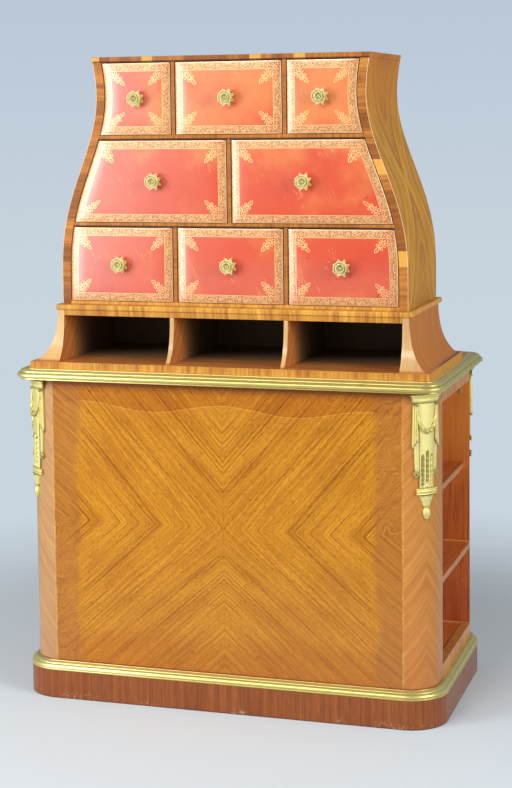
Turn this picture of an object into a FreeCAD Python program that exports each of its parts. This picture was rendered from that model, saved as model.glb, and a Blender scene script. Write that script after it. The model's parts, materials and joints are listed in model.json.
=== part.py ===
import FreeCAD, Part
import math
import os

from FreeCAD import Vector

# Cartonnier: a low cabinet open at both ends, and a smaller unit of pigeonholes
# and leather-fronted drawers that stands on it.
# Millimetres, +X right, -Y front, +Z up. The origin is on the floor under the
# middle of the low cabinet.

# Low cabinet body
BODY_WIDTH = 968.0
BODY_DEPTH = 502.0
BODY_CORNER_RADIUS = 69.0
BODY_HEIGHT = 684.0             # from the plinth's top to the top board
PANEL_THICKNESS = 22.0
FRONT_POST_DEPTH = 101.0        # front face to the open end
BACK_POST_DEPTH = 61.0          # back face to the open end
PARTITION_THICKNESS = 18.0

# Plinth and the brass band on it
PLINTH_HEIGHT = 67.0
PLINTH_STEP = 18.0              # out from the body
PLINTH_THICKNESS = 40.0
BAND_HEIGHT = 18.0
BAND_STEP = 20.0                # out from the body
BAND_FILLET_HEIGHT = 4.0        # plain lower part of the band
BAND_GROOVE = 2.0
BAND_SWELL = 4.0                # of the round upper part
BAND_LIP = 2.0                  # flat at the band's upper edge

# Open ends
END_RAIL_THICKNESS = 22.0
TOP_RAIL_HEIGHT = 36.0
BOTTOM_RAIL_HEIGHT = 50.0
FLOOR_RECESS = 2.0              # floor below the bottom rail's upper edge
FLOOR_THICKNESS = 20.0
SHELF_THICKNESS = 14.0
LOWER_BAY_HEIGHT = 189.0        # clear height under the lower shelf
MIDDLE_BAY_HEIGHT = 183.0       # clear height between the shelves
UPPER_SHELF_SETBACK = 14.0
HOUSING_DEPTH = 5.0             # depth of the grooves that boards are let into

# Catch under each top end rail
CATCH_LENGTH = 24.0
CATCH_WIDTH = 9.0
CATCH_PLATE = 2.5
CATCH_DROP = 20.0
CATCH_TONGUE = 6.0
CATCH_BACK = 108.0              # behind the middle of the cabinet

# Top board and its brass moulding
MOULDING_HEIGHT = 24.0
MOULDING_STEP = 25.0            # out from the body
MOULDING_WIDTH = 36.0
MOULDING_CORNER_RADIUS = 23.0   # where the moulding is flush with the body
MOULDING_COVE = 4.0             # hollow under the nose
MOULDING_HOLLOW_HEIGHT = 8.0    # hollow above the nose
MOULDING_HOLLOW_SETBACK = 10.0

# Corner mounts: widths are straight across, heights run down from the moulding
MOUNT_TOP_GAP = 4.0
MOUNT_HALF_ANGLE = 31.0         # degrees round the corner post
CAPITAL_HEIGHT = 19.0
CAPITAL_PROUD = 9.0
ABACUS_HEIGHT = 6.0
ABACUS_PROUD = 12.0
PLATE_THICKNESS = 5.0
PLATE_HEIGHT = 164.0
PLATE_TOP_WIDTH = 66.0
PLATE_FOOT_WIDTH = 56.0
NECK_HEIGHT = 27.0
NECK_WIDTH = 40.0
TAIL_HEIGHT = 92.0              # hanging ends of the drapery
TAIL_ANGLE = 10.0
TAIL_PROUD = 8.0
SWAG_DROP = 57.0
SWAG_THICKNESS = 10.0
SWAG_PROUD = 11.0
ROD_TOP_RADIUS = 6.0            # drop of husks down the middle
ROD_FOOT_RADIUS = 4.0
COLLAR_HEIGHT = 14.0
COLLAR_WIDTH = 50.0
COLLAR_PROUD = 9.0
PENDANT_HEIGHT = 26.0
PENDANT_TOP_WIDTH = 42.0
PENDANT_FOOT_WIDTH = 16.0
PENDANT_PROUD = 9.0
FINIAL_RADIUS = 10.5
FINIAL_NECK_RADIUS = 6.0
FINIAL_NECK_HEIGHT = 9.0
PIN_RADIUS = 1.5
PIN_HEAD_RADIUS = 3.0
PIN_HEAD_HEIGHT = 1.5
PIN_DEPTH = 18.0                # into the post

# Pigeonholes
NICHE_COUNT = 3
NICHE_FLOOR_THICKNESS = 16.0
NICHE_FLOOR_DEPTH = 391.0
NICHE_FLOOR_SIDE_SETBACK = 35.0     # in from the moulding's edge
NICHE_FLOOR_FRONT_SETBACK = 35.0
UPPER_BACK_SETBACK = 18.0       # in from the floor board's back edge
NICHE_HEIGHT = 104.5
UPRIGHT_THICKNESS = 15.0
DIVIDER_THICKNESS = 10.0
FLARE_OUT = 53.5
FLARE_FORWARD = 44.0
TOE_SETBACK = 1.0               # flared feet in from the floor's edge
NICHE_TOP_THICKNESS = 12.5
NICHE_BACK_THICKNESS = 10.0
LEDGE_THICKNESS = 13.0
LEDGE_SIDE_OVERHANG = 7.5
LEDGE_FRONT_OVERHANG = 4.0
LEDGE_BACK_OVERHANG = 6.0
LEDGE_CORNER_RADIUS = 10.0
LEDGE_ROUNDING = 4.0

# Drawer case: its S-curved sides are drawn in from the faces of the uprights
CASE_SETBACK = 18.0             # behind the uprights' front edges
CASE_BELLY_INSET = 5.0
CASE_WAIST_INSET = 98.0
CASE_TOP_INSET = 87.5
BELLY_HEIGHT = 69.0             # above the ledge
WAIST_DROP = 90.0               # below the case's top
CASE_SKEW = 1.22                # above 1 lifts the steep part of the curve
CASE_SIDE_THICKNESS = 21.0
CASE_BOTTOM_THICKNESS = 8.0
CASE_TOP_THICKNESS = 13.0
CASE_BACK_THICKNESS = 10.0
LOWER_ROW_HEIGHT = 174.0
MIDDLE_ROW_HEIGHT = 191.0
UPPER_ROW_HEIGHT = 167.0
LOWER_DUST_BOARD = 10.0
UPPER_DUST_BOARD = 11.0
ROW_DIVIDER_THICKNESS = 9.0
ROW_DIVIDER_SPACING = 265.0
CURVE_STATIONS = 12             # points that the side's curve passes through

# Drawers
FRONT_GAP = 1.2                 # round a drawer front
RUN_GAP = 0.3                   # under a drawer
HEAD_GAP = 6.0                  # above the drawer's sides
BACK_GAP = 4.0                  # behind a closed drawer
LEATHER_PROUD = 5.0
LEATHER_THICKNESS = 9.0
LEATHER_ROUNDING = 7.0
FRONT_THICKNESS = 14.0
DRAWER_BOARD = 8.0
DRAWER_BOTTOM = 5.0
DRAWER_BOTTOM_RISE = 6.0
DRAWER_GROOVE = 4.0

# Flower knobs
KNOB_SHANK_RADIUS = 3.0
KNOB_SHANK_CLEARANCE = 0.2
KNOB_STEM_RADIUS = 6.0
KNOB_STEM_LENGTH = 17.0
KNOB_LEAF_RADIUS = 22.0
KNOB_LEAF_NOTCH_RADIUS = 13.0
KNOB_LEAF_RISE = 3.0            # leaves stand off the leather
KNOB_LEAF_THICKNESS = 7.0
KNOB_LEAVES = 8
KNOB_BOSS_RADIUS = 15.0
KNOB_BOSS_HEIGHT = 12.0
NUT_RADIUS = 7.0
NUT_HEIGHT = 5.0

# Places worked out from the sizes above
HALF_WIDTH = BODY_WIDTH / 2
HALF_DEPTH = BODY_DEPTH / 2
CORNER_X = HALF_WIDTH - BODY_CORNER_RADIUS
CORNER_Y = HALF_DEPTH - BODY_CORNER_RADIUS
INSIDE_Y = HALF_DEPTH - PANEL_THICKNESS
OPEN_FRONT = FRONT_POST_DEPTH - HALF_DEPTH
OPEN_BACK = HALF_DEPTH - BACK_POST_DEPTH
BODY_TOP = PLINTH_HEIGHT + BODY_HEIGHT
FLOOR_TOP = PLINTH_HEIGHT + BOTTOM_RAIL_HEIGHT - FLOOR_RECESS
LOWER_SHELF = FLOOR_TOP + LOWER_BAY_HEIGHT
UPPER_SHELF = LOWER_SHELF + SHELF_THICKNESS + MIDDLE_BAY_HEIGHT
CABINET_TOP = BODY_TOP + MOULDING_HEIGHT
NICHE_FLOOR_HALF = HALF_WIDTH + MOULDING_STEP - NICHE_FLOOR_SIDE_SETBACK
NICHE_FLOOR_FRONT = NICHE_FLOOR_FRONT_SETBACK - HALF_DEPTH - MOULDING_STEP
UPRIGHT_FACE = NICHE_FLOOR_HALF - TOE_SETBACK - FLARE_OUT
NICHE_HALF = UPRIGHT_FACE - UPRIGHT_THICKNESS
NICHE_FRONT = NICHE_FLOOR_FRONT + TOE_SETBACK + FLARE_FORWARD
NICHE_FLOOR_BACK = NICHE_FLOOR_FRONT + NICHE_FLOOR_DEPTH
UPPER_BACK = NICHE_FLOOR_BACK - UPPER_BACK_SETBACK
NICHE_FLOOR_TOP = CABINET_TOP + NICHE_FLOOR_THICKNESS
NICHE_TOP = NICHE_FLOOR_TOP + NICHE_HEIGHT
LEDGE_BOTTOM = NICHE_TOP + NICHE_TOP_THICKNESS
CASE_FOOT = LEDGE_BOTTOM + LEDGE_THICKNESS
LOWER_ROW = CASE_FOOT + CASE_BOTTOM_THICKNESS
LOWER_DUST = LOWER_ROW + LOWER_ROW_HEIGHT
MIDDLE_ROW = LOWER_DUST + LOWER_DUST_BOARD
UPPER_DUST = MIDDLE_ROW + MIDDLE_ROW_HEIGHT
UPPER_ROW = UPPER_DUST + UPPER_DUST_BOARD
CASE_TOP = UPPER_ROW + UPPER_ROW_HEIGHT
OVERALL_TOP = CASE_TOP + CASE_TOP_THICKNESS
CASE_HEIGHT = OVERALL_TOP - CASE_FOOT
WAIST_HEIGHT = CASE_HEIGHT - WAIST_DROP
CASE_BELLY_HALF = UPRIGHT_FACE - CASE_BELLY_INSET
CASE_WAIST_HALF = UPRIGHT_FACE - CASE_WAIST_INSET
CASE_TOP_HALF = UPRIGHT_FACE - CASE_TOP_INSET
CASE_FRONT = NICHE_FRONT + CASE_SETBACK
CASE_INSIDE_BACK = UPPER_BACK - CASE_BACK_THICKNESS
LEATHER_FRONT = CASE_FRONT - LEATHER_PROUD
LEATHER_BACK = LEATHER_FRONT + LEATHER_THICKNESS
FRONT_BACK = LEATHER_BACK + FRONT_THICKNESS
DRAWER_END = CASE_INSIDE_BACK - BACK_GAP
BEYOND = BODY_WIDTH             # further out than any piece of the upper unit

ORIGIN = Vector(0, 0, 0)
UP = Vector(0, 0, 1)
OUT = Vector(1, 0, 0)
CORNERS = (
    ("front_left", -1, -1),
    ("front_right", 1, -1),
    ("back_left", -1, 1),
    ("back_right", 1, 1),
)


def box(x0, x1, y0, y1, z0, z1):
    return Part.makeBox(x1 - x0, y1 - y0, z1 - z0, Vector(x0, y0, z0))


def face_of(edges):
    return Part.Face(Part.Wire(edges))


def polygon(points):
    return Part.Face(Part.makePolygon([*points, points[0]]))


def rounded_slab(step, z0, z1, radius=BODY_CORNER_RADIUS):
    """Slab with the body's outline, larger or smaller by a step all round."""
    slab = box(-HALF_WIDTH - step, HALF_WIDTH + step, -HALF_DEPTH - step, HALF_DEPTH + step, z0, z1)
    uprights = [edge for edge in slab.Edges if abs(edge.tangentAt(edge.FirstParameter).z) > 0.5]
    return slab.makeFillet(radius + step, uprights)


def frame_around(profile, radius=BODY_CORNER_RADIUS):
    """Four lengths and four corner pieces; the profile is drawn out from a corner's axis."""
    pieces = []
    half_x = HALF_WIDTH - radius
    half_y = HALF_DEPTH - radius
    turns = (
        (0, half_x, -half_y, Vector(0, 2 * half_y, 0)),
        (90, half_x, half_y, Vector(-2 * half_x, 0, 0)),
        (180, -half_x, half_y, Vector(0, -2 * half_y, 0)),
        (270, -half_x, -half_y, Vector(2 * half_x, 0, 0)),
    )
    for turn, x, y, run in turns:
        start = profile.copy()
        start.rotate(ORIGIN, UP, turn)
        start.translate(Vector(x, y, 0))
        pieces.append(start.extrude(run))
        end = start.copy()
        end.translate(run)
        pieces.append(end.revolve(Vector(x, y, 0) + run, UP, 90))
    return Part.makeCompound(pieces)


def at(out, height, radius=BODY_CORNER_RADIUS):
    """Point of a frame profile."""
    return Vector(radius + out, 0, height)


def plinth():
    inner = PLINTH_STEP - PLINTH_THICKNESS
    section = [at(inner, 0), at(PLINTH_STEP, 0), at(PLINTH_STEP, PLINTH_HEIGHT), at(inner, PLINTH_HEIGHT)]
    return frame_around(polygon(section))


def plinth_band():
    foot = PLINTH_HEIGHT
    shoulder = foot + BAND_FILLET_HEIGHT
    top = foot + BAND_HEIGHT
    slope_start = at(BAND_STEP - BAND_GROOVE, shoulder)
    slope_end = at(BAND_LIP, top)
    slope = slope_end - slope_start
    outward = Vector(slope.z, 0, -slope.x).normalize()
    bulge = (slope_start + slope_end) / 2 + outward * BAND_SWELL
    corners = [slope_end, at(0, top), at(0, foot), at(BAND_STEP, foot), at(BAND_STEP, shoulder), slope_start]
    edges = [Part.makeLine(a, b) for a, b in zip(corners, corners[1:])]
    edges.append(Part.Arc(slope_start, bulge, slope_end).toShape())
    return frame_around(face_of(edges))


def moulding_at(out, height):
    return at(out, height, MOULDING_CORNER_RADIUS)


def top_moulding():
    """Half-round nose between a small hollow under it and a wider one above."""
    inner = MOULDING_STEP - MOULDING_WIDTH
    nose_foot = BODY_TOP + MOULDING_COVE
    nose_head = CABINET_TOP - MOULDING_HOLLOW_HEIGHT
    nose_radius = (nose_head - nose_foot) / 2
    nose_out = MOULDING_STEP - nose_radius
    cove_start = moulding_at(nose_out - MOULDING_COVE, BODY_TOP)
    nose_low = moulding_at(nose_out, nose_foot)
    nose_tip = moulding_at(MOULDING_STEP, nose_foot + nose_radius)
    nose_high = moulding_at(nose_out, nose_head)
    hollow_top = moulding_at(nose_out - MOULDING_HOLLOW_SETBACK, CABINET_TOP)
    cove_mid = (cove_start + nose_low) / 2 + Vector(-1, 0, 1) * (MOULDING_COVE / 5)
    hollow_mid = (nose_high + hollow_top) / 2 - Vector(1, 0, 1) * (MOULDING_HOLLOW_HEIGHT / 7)
    edges = [
        Part.makeLine(moulding_at(inner, BODY_TOP), cove_start),
        Part.Arc(cove_start, cove_mid, nose_low).toShape(),
        Part.Arc(nose_low, nose_tip, nose_high).toShape(),
        Part.Arc(nose_high, hollow_mid, hollow_top).toShape(),
        Part.makeLine(hollow_top, moulding_at(inner, CABINET_TOP)),
        Part.makeLine(moulding_at(inner, CABINET_TOP), moulding_at(inner, BODY_TOP)),
    ]
    return frame_around(face_of(edges), MOULDING_CORNER_RADIUS)


def base_top():
    return rounded_slab(MOULDING_STEP - MOULDING_WIDTH, BODY_TOP, CABINET_TOP, MOULDING_CORNER_RADIUS)


def corner_post(side, end):
    """Rounded post at one corner, drilled for the pins of its mount."""
    body = rounded_slab(0, PLINTH_HEIGHT, BODY_TOP)
    across = sorted((side * CORNER_X, side * HALF_WIDTH))
    if end < 0:
        along = (-HALF_DEPTH, OPEN_FRONT)
    else:
        along = (OPEN_BACK, HALF_DEPTH)
    post = body.common(box(*across, *along, PLINTH_HEIGHT, BODY_TOP))
    for pin in mount_pins():
        post = post.cut(on_corner(pin, side, end))
    return post


def bay_board(x0, x1, z0, z1):
    """Board let into the front and back panels, notched round the corner posts."""
    depth = INSIDE_Y + HOUSING_DEPTH
    middle = box(max(x0, -CORNER_X), min(x1, CORNER_X), -depth, depth, z0, z1)
    tongue = box(x0, x1, OPEN_FRONT, OPEN_BACK, z0, z1)
    return middle.fuse(tongue).removeSplitter().common(rounded_slab(0, z0, z1))


def bottom_board():
    reach = HALF_WIDTH - END_RAIL_THICKNESS
    return bay_board(-reach, reach, FLOOR_TOP - FLOOR_THICKNESS, FLOOR_TOP)


def shelves(side):
    """Lower and upper shelf of one open end."""
    boards = []
    start = PARTITION_THICKNESS / 2 - HOUSING_DEPTH
    for under, setback in ((LOWER_SHELF, 0), (UPPER_SHELF, UPPER_SHELF_SETBACK)):
        across = sorted((side * start, side * (HALF_WIDTH - setback)))
        boards.append(bay_board(*across, under, under + SHELF_THICKNESS))
    return Part.makeCompound(boards)


def housed(panel):
    """Panel with the grooves for every board that is let into it."""
    for board in (bottom_board(), shelves(-1), shelves(1)):
        panel = panel.cut(board)
    return panel


def face_panel(end):
    along = sorted((end * INSIDE_Y, end * HALF_DEPTH))
    return housed(box(-CORNER_X, CORNER_X, *along, PLINTH_HEIGHT, BODY_TOP))


def centre_partition():
    half = PARTITION_THICKNESS / 2
    return housed(box(-half, half, -INSIDE_Y, INSIDE_Y, FLOOR_TOP, BODY_TOP))


def side_rails():
    rails = []
    body = rounded_slab(0, PLINTH_HEIGHT, BODY_TOP)
    for side in (-1, 1):
        across = sorted((side * (HALF_WIDTH - END_RAIL_THICKNESS), side * HALF_WIDTH))
        bottom_rail_top = PLINTH_HEIGHT + BOTTOM_RAIL_HEIGHT
        for z0, z1 in ((PLINTH_HEIGHT, bottom_rail_top), (BODY_TOP - TOP_RAIL_HEIGHT, BODY_TOP)):
            rails.append(body.common(box(*across, OPEN_FRONT, OPEN_BACK, z0, z1)))
    return Part.makeCompound(rails)


def shelf_catches():
    """Plate with a hanging tongue under each top end rail."""
    catches = []
    under = BODY_TOP - TOP_RAIL_HEIGHT
    back = CATCH_BACK + CATCH_LENGTH
    tongue_back = CATCH_BACK + CATCH_TONGUE
    for side in (-1, 1):
        middle = side * (HALF_WIDTH - END_RAIL_THICKNESS / 2)
        across = (middle - CATCH_WIDTH / 2, middle + CATCH_WIDTH / 2)
        plate = box(*across, CATCH_BACK, back, under - CATCH_PLATE, under)
        tongue = box(*across, CATCH_BACK, tongue_back, under - CATCH_DROP, under - CATCH_PLATE)
        catches.append(plate.fuse(tongue).removeSplitter())
    return Part.makeCompound(catches)


def on_corner(shape, side, end):
    """Place a shape made round the Z axis, facing +X, on one corner post."""
    placed = shape.copy()
    placed.rotate(ORIGIN, UP, math.degrees(math.atan2(end, side)))
    placed.translate(Vector(side * CORNER_X, end * CORNER_Y, 0))
    return placed


def sector(thickness, from_angle, to_angle, z0, z1):
    """Plate that lies on the round face of a post between two angles."""
    inner, outer = BODY_CORNER_RADIUS, BODY_CORNER_RADIUS + thickness
    section = polygon([
        Vector(inner, 0, z0),
        Vector(outer, 0, z0),
        Vector(outer, 0, z1),
        Vector(inner, 0, z1),
    ])
    section.rotate(ORIGIN, UP, from_angle)
    return section.revolve(ORIGIN, UP, to_angle - from_angle)


def tapered_bar(top_width, foot_width, z0, z1):
    """Flat bar that cuts a tapered outline out of a plate on the post."""
    reach = 2 * BODY_CORNER_RADIUS
    outline = polygon([
        Vector(0, -foot_width / 2, z0),
        Vector(0, foot_width / 2, z0),
        Vector(0, top_width / 2, z1),
        Vector(0, -top_width / 2, z1),
    ])
    return outline.extrude(OUT * reach)


def swag_bar(z1):
    """U-shaped bar, half an ellipse, hanging from a height."""
    reach = 2 * BODY_CORNER_RADIUS
    span = BODY_CORNER_RADIUS * math.sin(math.radians(MOUNT_HALF_ANGLE - TAIL_ANGLE / 2))
    rings = []
    for inset in (0, SWAG_THICKNESS):
        half, drop = span - inset, SWAG_DROP - inset
        long_axis, short_axis = max(half, drop), min(half, drop)
        ellipse = Part.Ellipse(ORIGIN, long_axis, short_axis).toShape()
        disc = Part.Face(Part.Wire([ellipse]))
        disc.rotate(ORIGIN, Vector(0, 1, 0), 90)
        if half > drop:
            disc.rotate(ORIGIN, OUT, 90)
        disc.translate(Vector(0, 0, z1))
        rings.append(disc.extrude(OUT * reach))
    return rings[0].cut(rings[1])


def mount_levels():
    """Heights of the capital's top, the plate's top, and the collar's top and foot."""
    top = BODY_TOP - MOUNT_TOP_GAP
    plate_top = top - CAPITAL_HEIGHT
    collar_top = plate_top - PLATE_HEIGHT - NECK_HEIGHT
    return top, plate_top, collar_top, collar_top - COLLAR_HEIGHT


def mount_pins():
    """Two headed pins that hold a mount, at its capital and its collar."""
    top, plate_top, collar_top, collar_foot = mount_levels()
    capital_pin = ((plate_top + top - ABACUS_HEIGHT) / 2, CAPITAL_PROUD)
    collar_pin = ((collar_top + collar_foot) / 2, COLLAR_PROUD)
    pins = []
    for height, proud in (capital_pin, collar_pin):
        start = Vector(BODY_CORNER_RADIUS - PIN_DEPTH, 0, height)
        shank = Part.makeCylinder(PIN_RADIUS, PIN_DEPTH + proud, start, OUT)
        seat = Vector(BODY_CORNER_RADIUS + proud, 0, height)
        head = Part.makeCone(PIN_HEAD_RADIUS, PIN_RADIUS, PIN_HEAD_HEIGHT, seat, OUT)
        pins.append(shank.fuse(head))
    return pins


def on_post(proud, top_width, foot_width, z0, z1):
    """Plate on the post's round face with a straight or tapered outline."""
    plate = sector(proud, -90, 90, z0, z1)
    return plate.common(tapered_bar(top_width, foot_width, z0, z1))


def mount_casting():
    """Capital, drapery with its hanging ends, plate, husk drop, collar and pendant finial."""
    top, plate_top, collar_top, collar_foot = mount_levels()
    half = MOUNT_HALF_ANGLE
    tail_foot = plate_top - TAIL_HEIGHT
    plate_foot = plate_top - PLATE_HEIGHT
    pendant_foot = collar_foot - PENDANT_HEIGHT
    garland = sector(SWAG_PROUD, -half, half, plate_top - SWAG_DROP, plate_top)
    finial_neck = FINIAL_NECK_HEIGHT + FINIAL_RADIUS
    finial_place = Vector(BODY_CORNER_RADIUS, 0, pendant_foot - finial_neck)
    rod_place = Vector(BODY_CORNER_RADIUS + PLATE_THICKNESS / 2, 0, collar_top)
    members = [
        sector(ABACUS_PROUD, -half, half, top - ABACUS_HEIGHT, top),
        sector(TAIL_PROUD, half - TAIL_ANGLE, half, tail_foot, plate_top),
        sector(TAIL_PROUD, -half, TAIL_ANGLE - half, tail_foot, plate_top),
        garland.common(swag_bar(plate_top)),
        on_post(PLATE_THICKNESS, PLATE_TOP_WIDTH, PLATE_FOOT_WIDTH, plate_foot, plate_top),
        on_post(PLATE_THICKNESS, NECK_WIDTH, NECK_WIDTH, collar_top, plate_foot),
        on_post(COLLAR_PROUD, COLLAR_WIDTH, COLLAR_WIDTH, collar_foot, collar_top),
        on_post(PENDANT_PROUD, PENDANT_TOP_WIDTH, PENDANT_FOOT_WIDTH, pendant_foot, collar_foot),
        Part.makeCone(ROD_FOOT_RADIUS, ROD_TOP_RADIUS, PLATE_HEIGHT + NECK_HEIGHT, rod_place),
        Part.makeCylinder(FINIAL_NECK_RADIUS, finial_neck, finial_place),
        Part.makeSphere(FINIAL_RADIUS, finial_place),
    ]
    capital = sector(CAPITAL_PROUD, -half, half, plate_top, top)
    casting = capital.multiFuse(members).removeSplitter()
    post = Part.makeCylinder(BODY_CORNER_RADIUS, BODY_TOP)
    return casting.cut(post)


def corner_mount(side, end):
    casting = mount_casting()
    pins = mount_pins()
    for pin in pins:
        casting = casting.cut(pin)
    return on_corner(Part.makeCompound([casting, *pins]), side, end)


def flare(reach, foot, top):
    """Area under a hollow curve that sweeps from upright at the top to level at the foot."""
    height = top - foot
    arc_points = []
    for share in (0, 0.25, 0.5, 0.75, 1):
        angle = share * math.pi / 2
        arc_points.append(Vector(reach * (1 - math.cos(angle)), 0, top - height * math.sin(angle)))
    curve = Part.BSplineCurve()
    curve.interpolate(arc_points, InitialTangent=Vector(0, 0, -height), FinalTangent=Vector(reach, 0, 0))
    corner = Vector(0, 0, foot)
    edges = [curve.toShape(), Part.makeLine(arc_points[-1], corner), Part.makeLine(corner, arc_points[0])]
    return face_of(edges)


def flared_upright(x0, x1, top):
    """Upright whose front edge sweeps forward at the foot."""
    body = box(x0, x1, NICHE_FRONT, UPPER_BACK, NICHE_FLOOR_TOP, top)
    toe = flare(FLARE_FORWARD, NICHE_FLOOR_TOP, top)
    toe.rotate(ORIGIN, UP, -90)
    toe.translate(Vector(x0, NICHE_FRONT, 0))
    return body.fuse(toe.extrude(OUT * (x1 - x0))).removeSplitter()


def niche_side(side):
    """Outer upright, flared forward and outward."""
    wide = flared_upright(NICHE_HALF, UPRIGHT_FACE + FLARE_OUT, LEDGE_BOTTOM)
    wing = flare(FLARE_OUT, NICHE_FLOOR_TOP, LEDGE_BOTTOM)
    front = NICHE_FRONT - FLARE_FORWARD
    depth = UPPER_BACK - front
    wing.translate(Vector(UPRIGHT_FACE, front, 0))
    core = box(NICHE_HALF, UPRIGHT_FACE, front, UPPER_BACK, NICHE_FLOOR_TOP, LEDGE_BOTTOM)
    outline = core.fuse(wing.extrude(Vector(0, depth, 0)))
    upright = wide.common(outline).removeSplitter()
    if side < 0:
        return upright.mirror(ORIGIN, OUT)
    return upright


def niche_dividers():
    """Uprights that part the pigeonholes into equal widths."""
    pieces = []
    spacing = (2 * NICHE_HALF + DIVIDER_THICKNESS) / NICHE_COUNT
    for index in range(1, NICHE_COUNT):
        start = index * spacing - DIVIDER_THICKNESS - NICHE_HALF
        divider = flared_upright(start, start + DIVIDER_THICKNESS, NICHE_TOP)
        pieces.append(divider.cut(niche_back()))
    return Part.makeCompound(pieces)


def niche_floor():
    across = (-NICHE_FLOOR_HALF, NICHE_FLOOR_HALF)
    return box(*across, NICHE_FLOOR_FRONT, NICHE_FLOOR_BACK, CABINET_TOP, NICHE_FLOOR_TOP)


def niche_top():
    return box(-NICHE_HALF, NICHE_HALF, NICHE_FRONT, UPPER_BACK, NICHE_TOP, LEDGE_BOTTOM)


def niche_back():
    inside = UPPER_BACK - NICHE_BACK_THICKNESS
    return box(-NICHE_HALF, NICHE_HALF, inside, UPPER_BACK, NICHE_FLOOR_TOP, NICHE_TOP)


def ledge():
    """Board with a round nose along its front and ends."""
    half = UPRIGHT_FACE + LEDGE_SIDE_OVERHANG
    back = UPPER_BACK + LEDGE_BACK_OVERHANG
    board = box(-half, half, NICHE_FRONT - LEDGE_FRONT_OVERHANG, back, LEDGE_BOTTOM, CASE_FOOT)
    uprights = [edge for edge in board.Edges if abs(edge.tangentAt(edge.FirstParameter).z) > 0.5]
    front_corners = [edge for edge in uprights if edge.CenterOfMass.y < 0]
    board = board.makeFillet(LEDGE_CORNER_RADIUS, front_corners)
    rounding = min(LEDGE_ROUNDING, 0.45 * LEDGE_THICKNESS)
    level = [edge for edge in board.Edges if abs(edge.tangentAt(edge.FirstParameter).z) < 0.5]
    rounded = [edge for edge in level if edge.CenterOfMass.y < back - rounding]
    return board.makeFillet(rounding, rounded)


def case_half_width(height):
    """Half the case's width at a height above its foot."""
    if height > WAIST_HEIGHT:
        rise = (height - WAIST_HEIGHT) / WAIST_DROP
        return CASE_WAIST_HALF + (CASE_TOP_HALF - CASE_WAIST_HALF) * rise ** 2
    rise = max(0.0, (height - BELLY_HEIGHT) / (WAIST_HEIGHT - BELLY_HEIGHT))
    bend = (1 - math.cos(math.pi * rise ** CASE_SKEW)) / 2
    return CASE_BELLY_HALF + (CASE_WAIST_HALF - CASE_BELLY_HALF) * bend


def case_block(inset, front, back):
    """Block with the case's S-curved outline, drawn in by an inset at both sides."""
    right, left = [], []
    for station in range(CURVE_STATIONS + 1):
        height = CASE_HEIGHT * station / CURVE_STATIONS
        half = case_half_width(height) - inset
        right.append(Vector(half, front, CASE_FOOT + height))
        left.append(Vector(-half, front, CASE_FOOT + height))
    sides = []
    for points in (right, left):
        curve = Part.BSplineCurve()
        curve.interpolate(points)
        sides.append(curve.toShape())
    foot = Part.makeLine(left[0], right[0])
    head = Part.makeLine(right[-1], left[-1])
    outline = face_of([foot, sides[0], head, sides[1]])
    return outline.extrude(Vector(0, back - front, 0))


def slice_of(block, x0, x1, y0, y1, z0, z1):
    return block.common(box(x0, x1, y0, y1, z0, z1))


CASE_OUTSIDE = case_block(0, CASE_FRONT, UPPER_BACK)
CASE_INSIDE = case_block(CASE_SIDE_THICKNESS, CASE_FRONT, UPPER_BACK)


def case_side(side):
    across = sorted((0, side * BEYOND))
    shell = CASE_OUTSIDE.cut(CASE_INSIDE)
    return slice_of(shell, *across, CASE_FRONT, UPPER_BACK, CASE_FOOT, CASE_TOP)


def case_level(block, back, z0, z1):
    """Level board across the case, from its front to a given back."""
    return slice_of(block, -BEYOND, BEYOND, CASE_FRONT, back, z0, z1)


def case_back():
    return slice_of(CASE_INSIDE, -BEYOND, BEYOND, CASE_INSIDE_BACK, UPPER_BACK, LOWER_ROW, CASE_TOP)


def dust_boards():
    lower = case_level(CASE_INSIDE, CASE_INSIDE_BACK, LOWER_DUST, MIDDLE_ROW)
    upper = case_level(CASE_INSIDE, CASE_INSIDE_BACK, UPPER_DUST, UPPER_ROW)
    return Part.makeCompound([lower, upper])


OUTER_DIVIDERS = (-ROW_DIVIDER_SPACING / 2, ROW_DIVIDER_SPACING / 2)
ROWS = (
    ("upper", UPPER_ROW, CASE_TOP, OUTER_DIVIDERS, ("left", "centre", "right")),
    ("middle", MIDDLE_ROW, UPPER_DUST, (0.0,), ("left", "right")),
    ("lower", LOWER_ROW, LOWER_DUST, OUTER_DIVIDERS, ("left", "centre", "right")),
)


def row_dividers(z0, z1, middles):
    half = ROW_DIVIDER_THICKNESS / 2
    pieces = [box(x - half, x + half, CASE_FRONT, CASE_INSIDE_BACK, z0, z1) for x in middles]
    return Part.makeCompound(pieces)


def drawer_cells():
    """Name, straight or curved limits in x, and limits in z of each drawer's cell."""
    cells = []
    half = ROW_DIVIDER_THICKNESS / 2
    for row, z0, z1, middles, places in ROWS:
        lows = [-BEYOND, *[x + half for x in middles]]
        highs = [*[x - half for x in middles], BEYOND]
        for place, x0, x1 in zip(places, lows, highs):
            cells.append((f"{row}_{place}_drawer", x0, x1, z0, z1))
    return cells


def in_cell(cell, inset, y0, y1, z0, z1):
    """Block that fills a drawer's cell between two depths, drawn in at both sides."""
    name, x0, x1, low, high = cell
    inside = case_block(CASE_SIDE_THICKNESS + inset, y0, y1)
    return slice_of(inside, x0 + inset, x1 - inset, y0, y1, z0, z1)


def knob_place(cell):
    """Middle of a drawer's front, where the leather's face is."""
    name, x0, x1, low, high = cell
    height = (low + high) / 2
    limit = case_half_width(height - CASE_FOOT) - CASE_SIDE_THICKNESS
    middle = (max(x0, -limit) + min(x1, limit)) / 2
    return Vector(middle, LEATHER_FRONT, height)


def facing_front(shape, place):
    """Turn a shape made along +Z to point out of a drawer's front, and place it."""
    turned = shape.copy()
    turned.rotate(ORIGIN, OUT, 90)
    turned.translate(place)
    return turned


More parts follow.
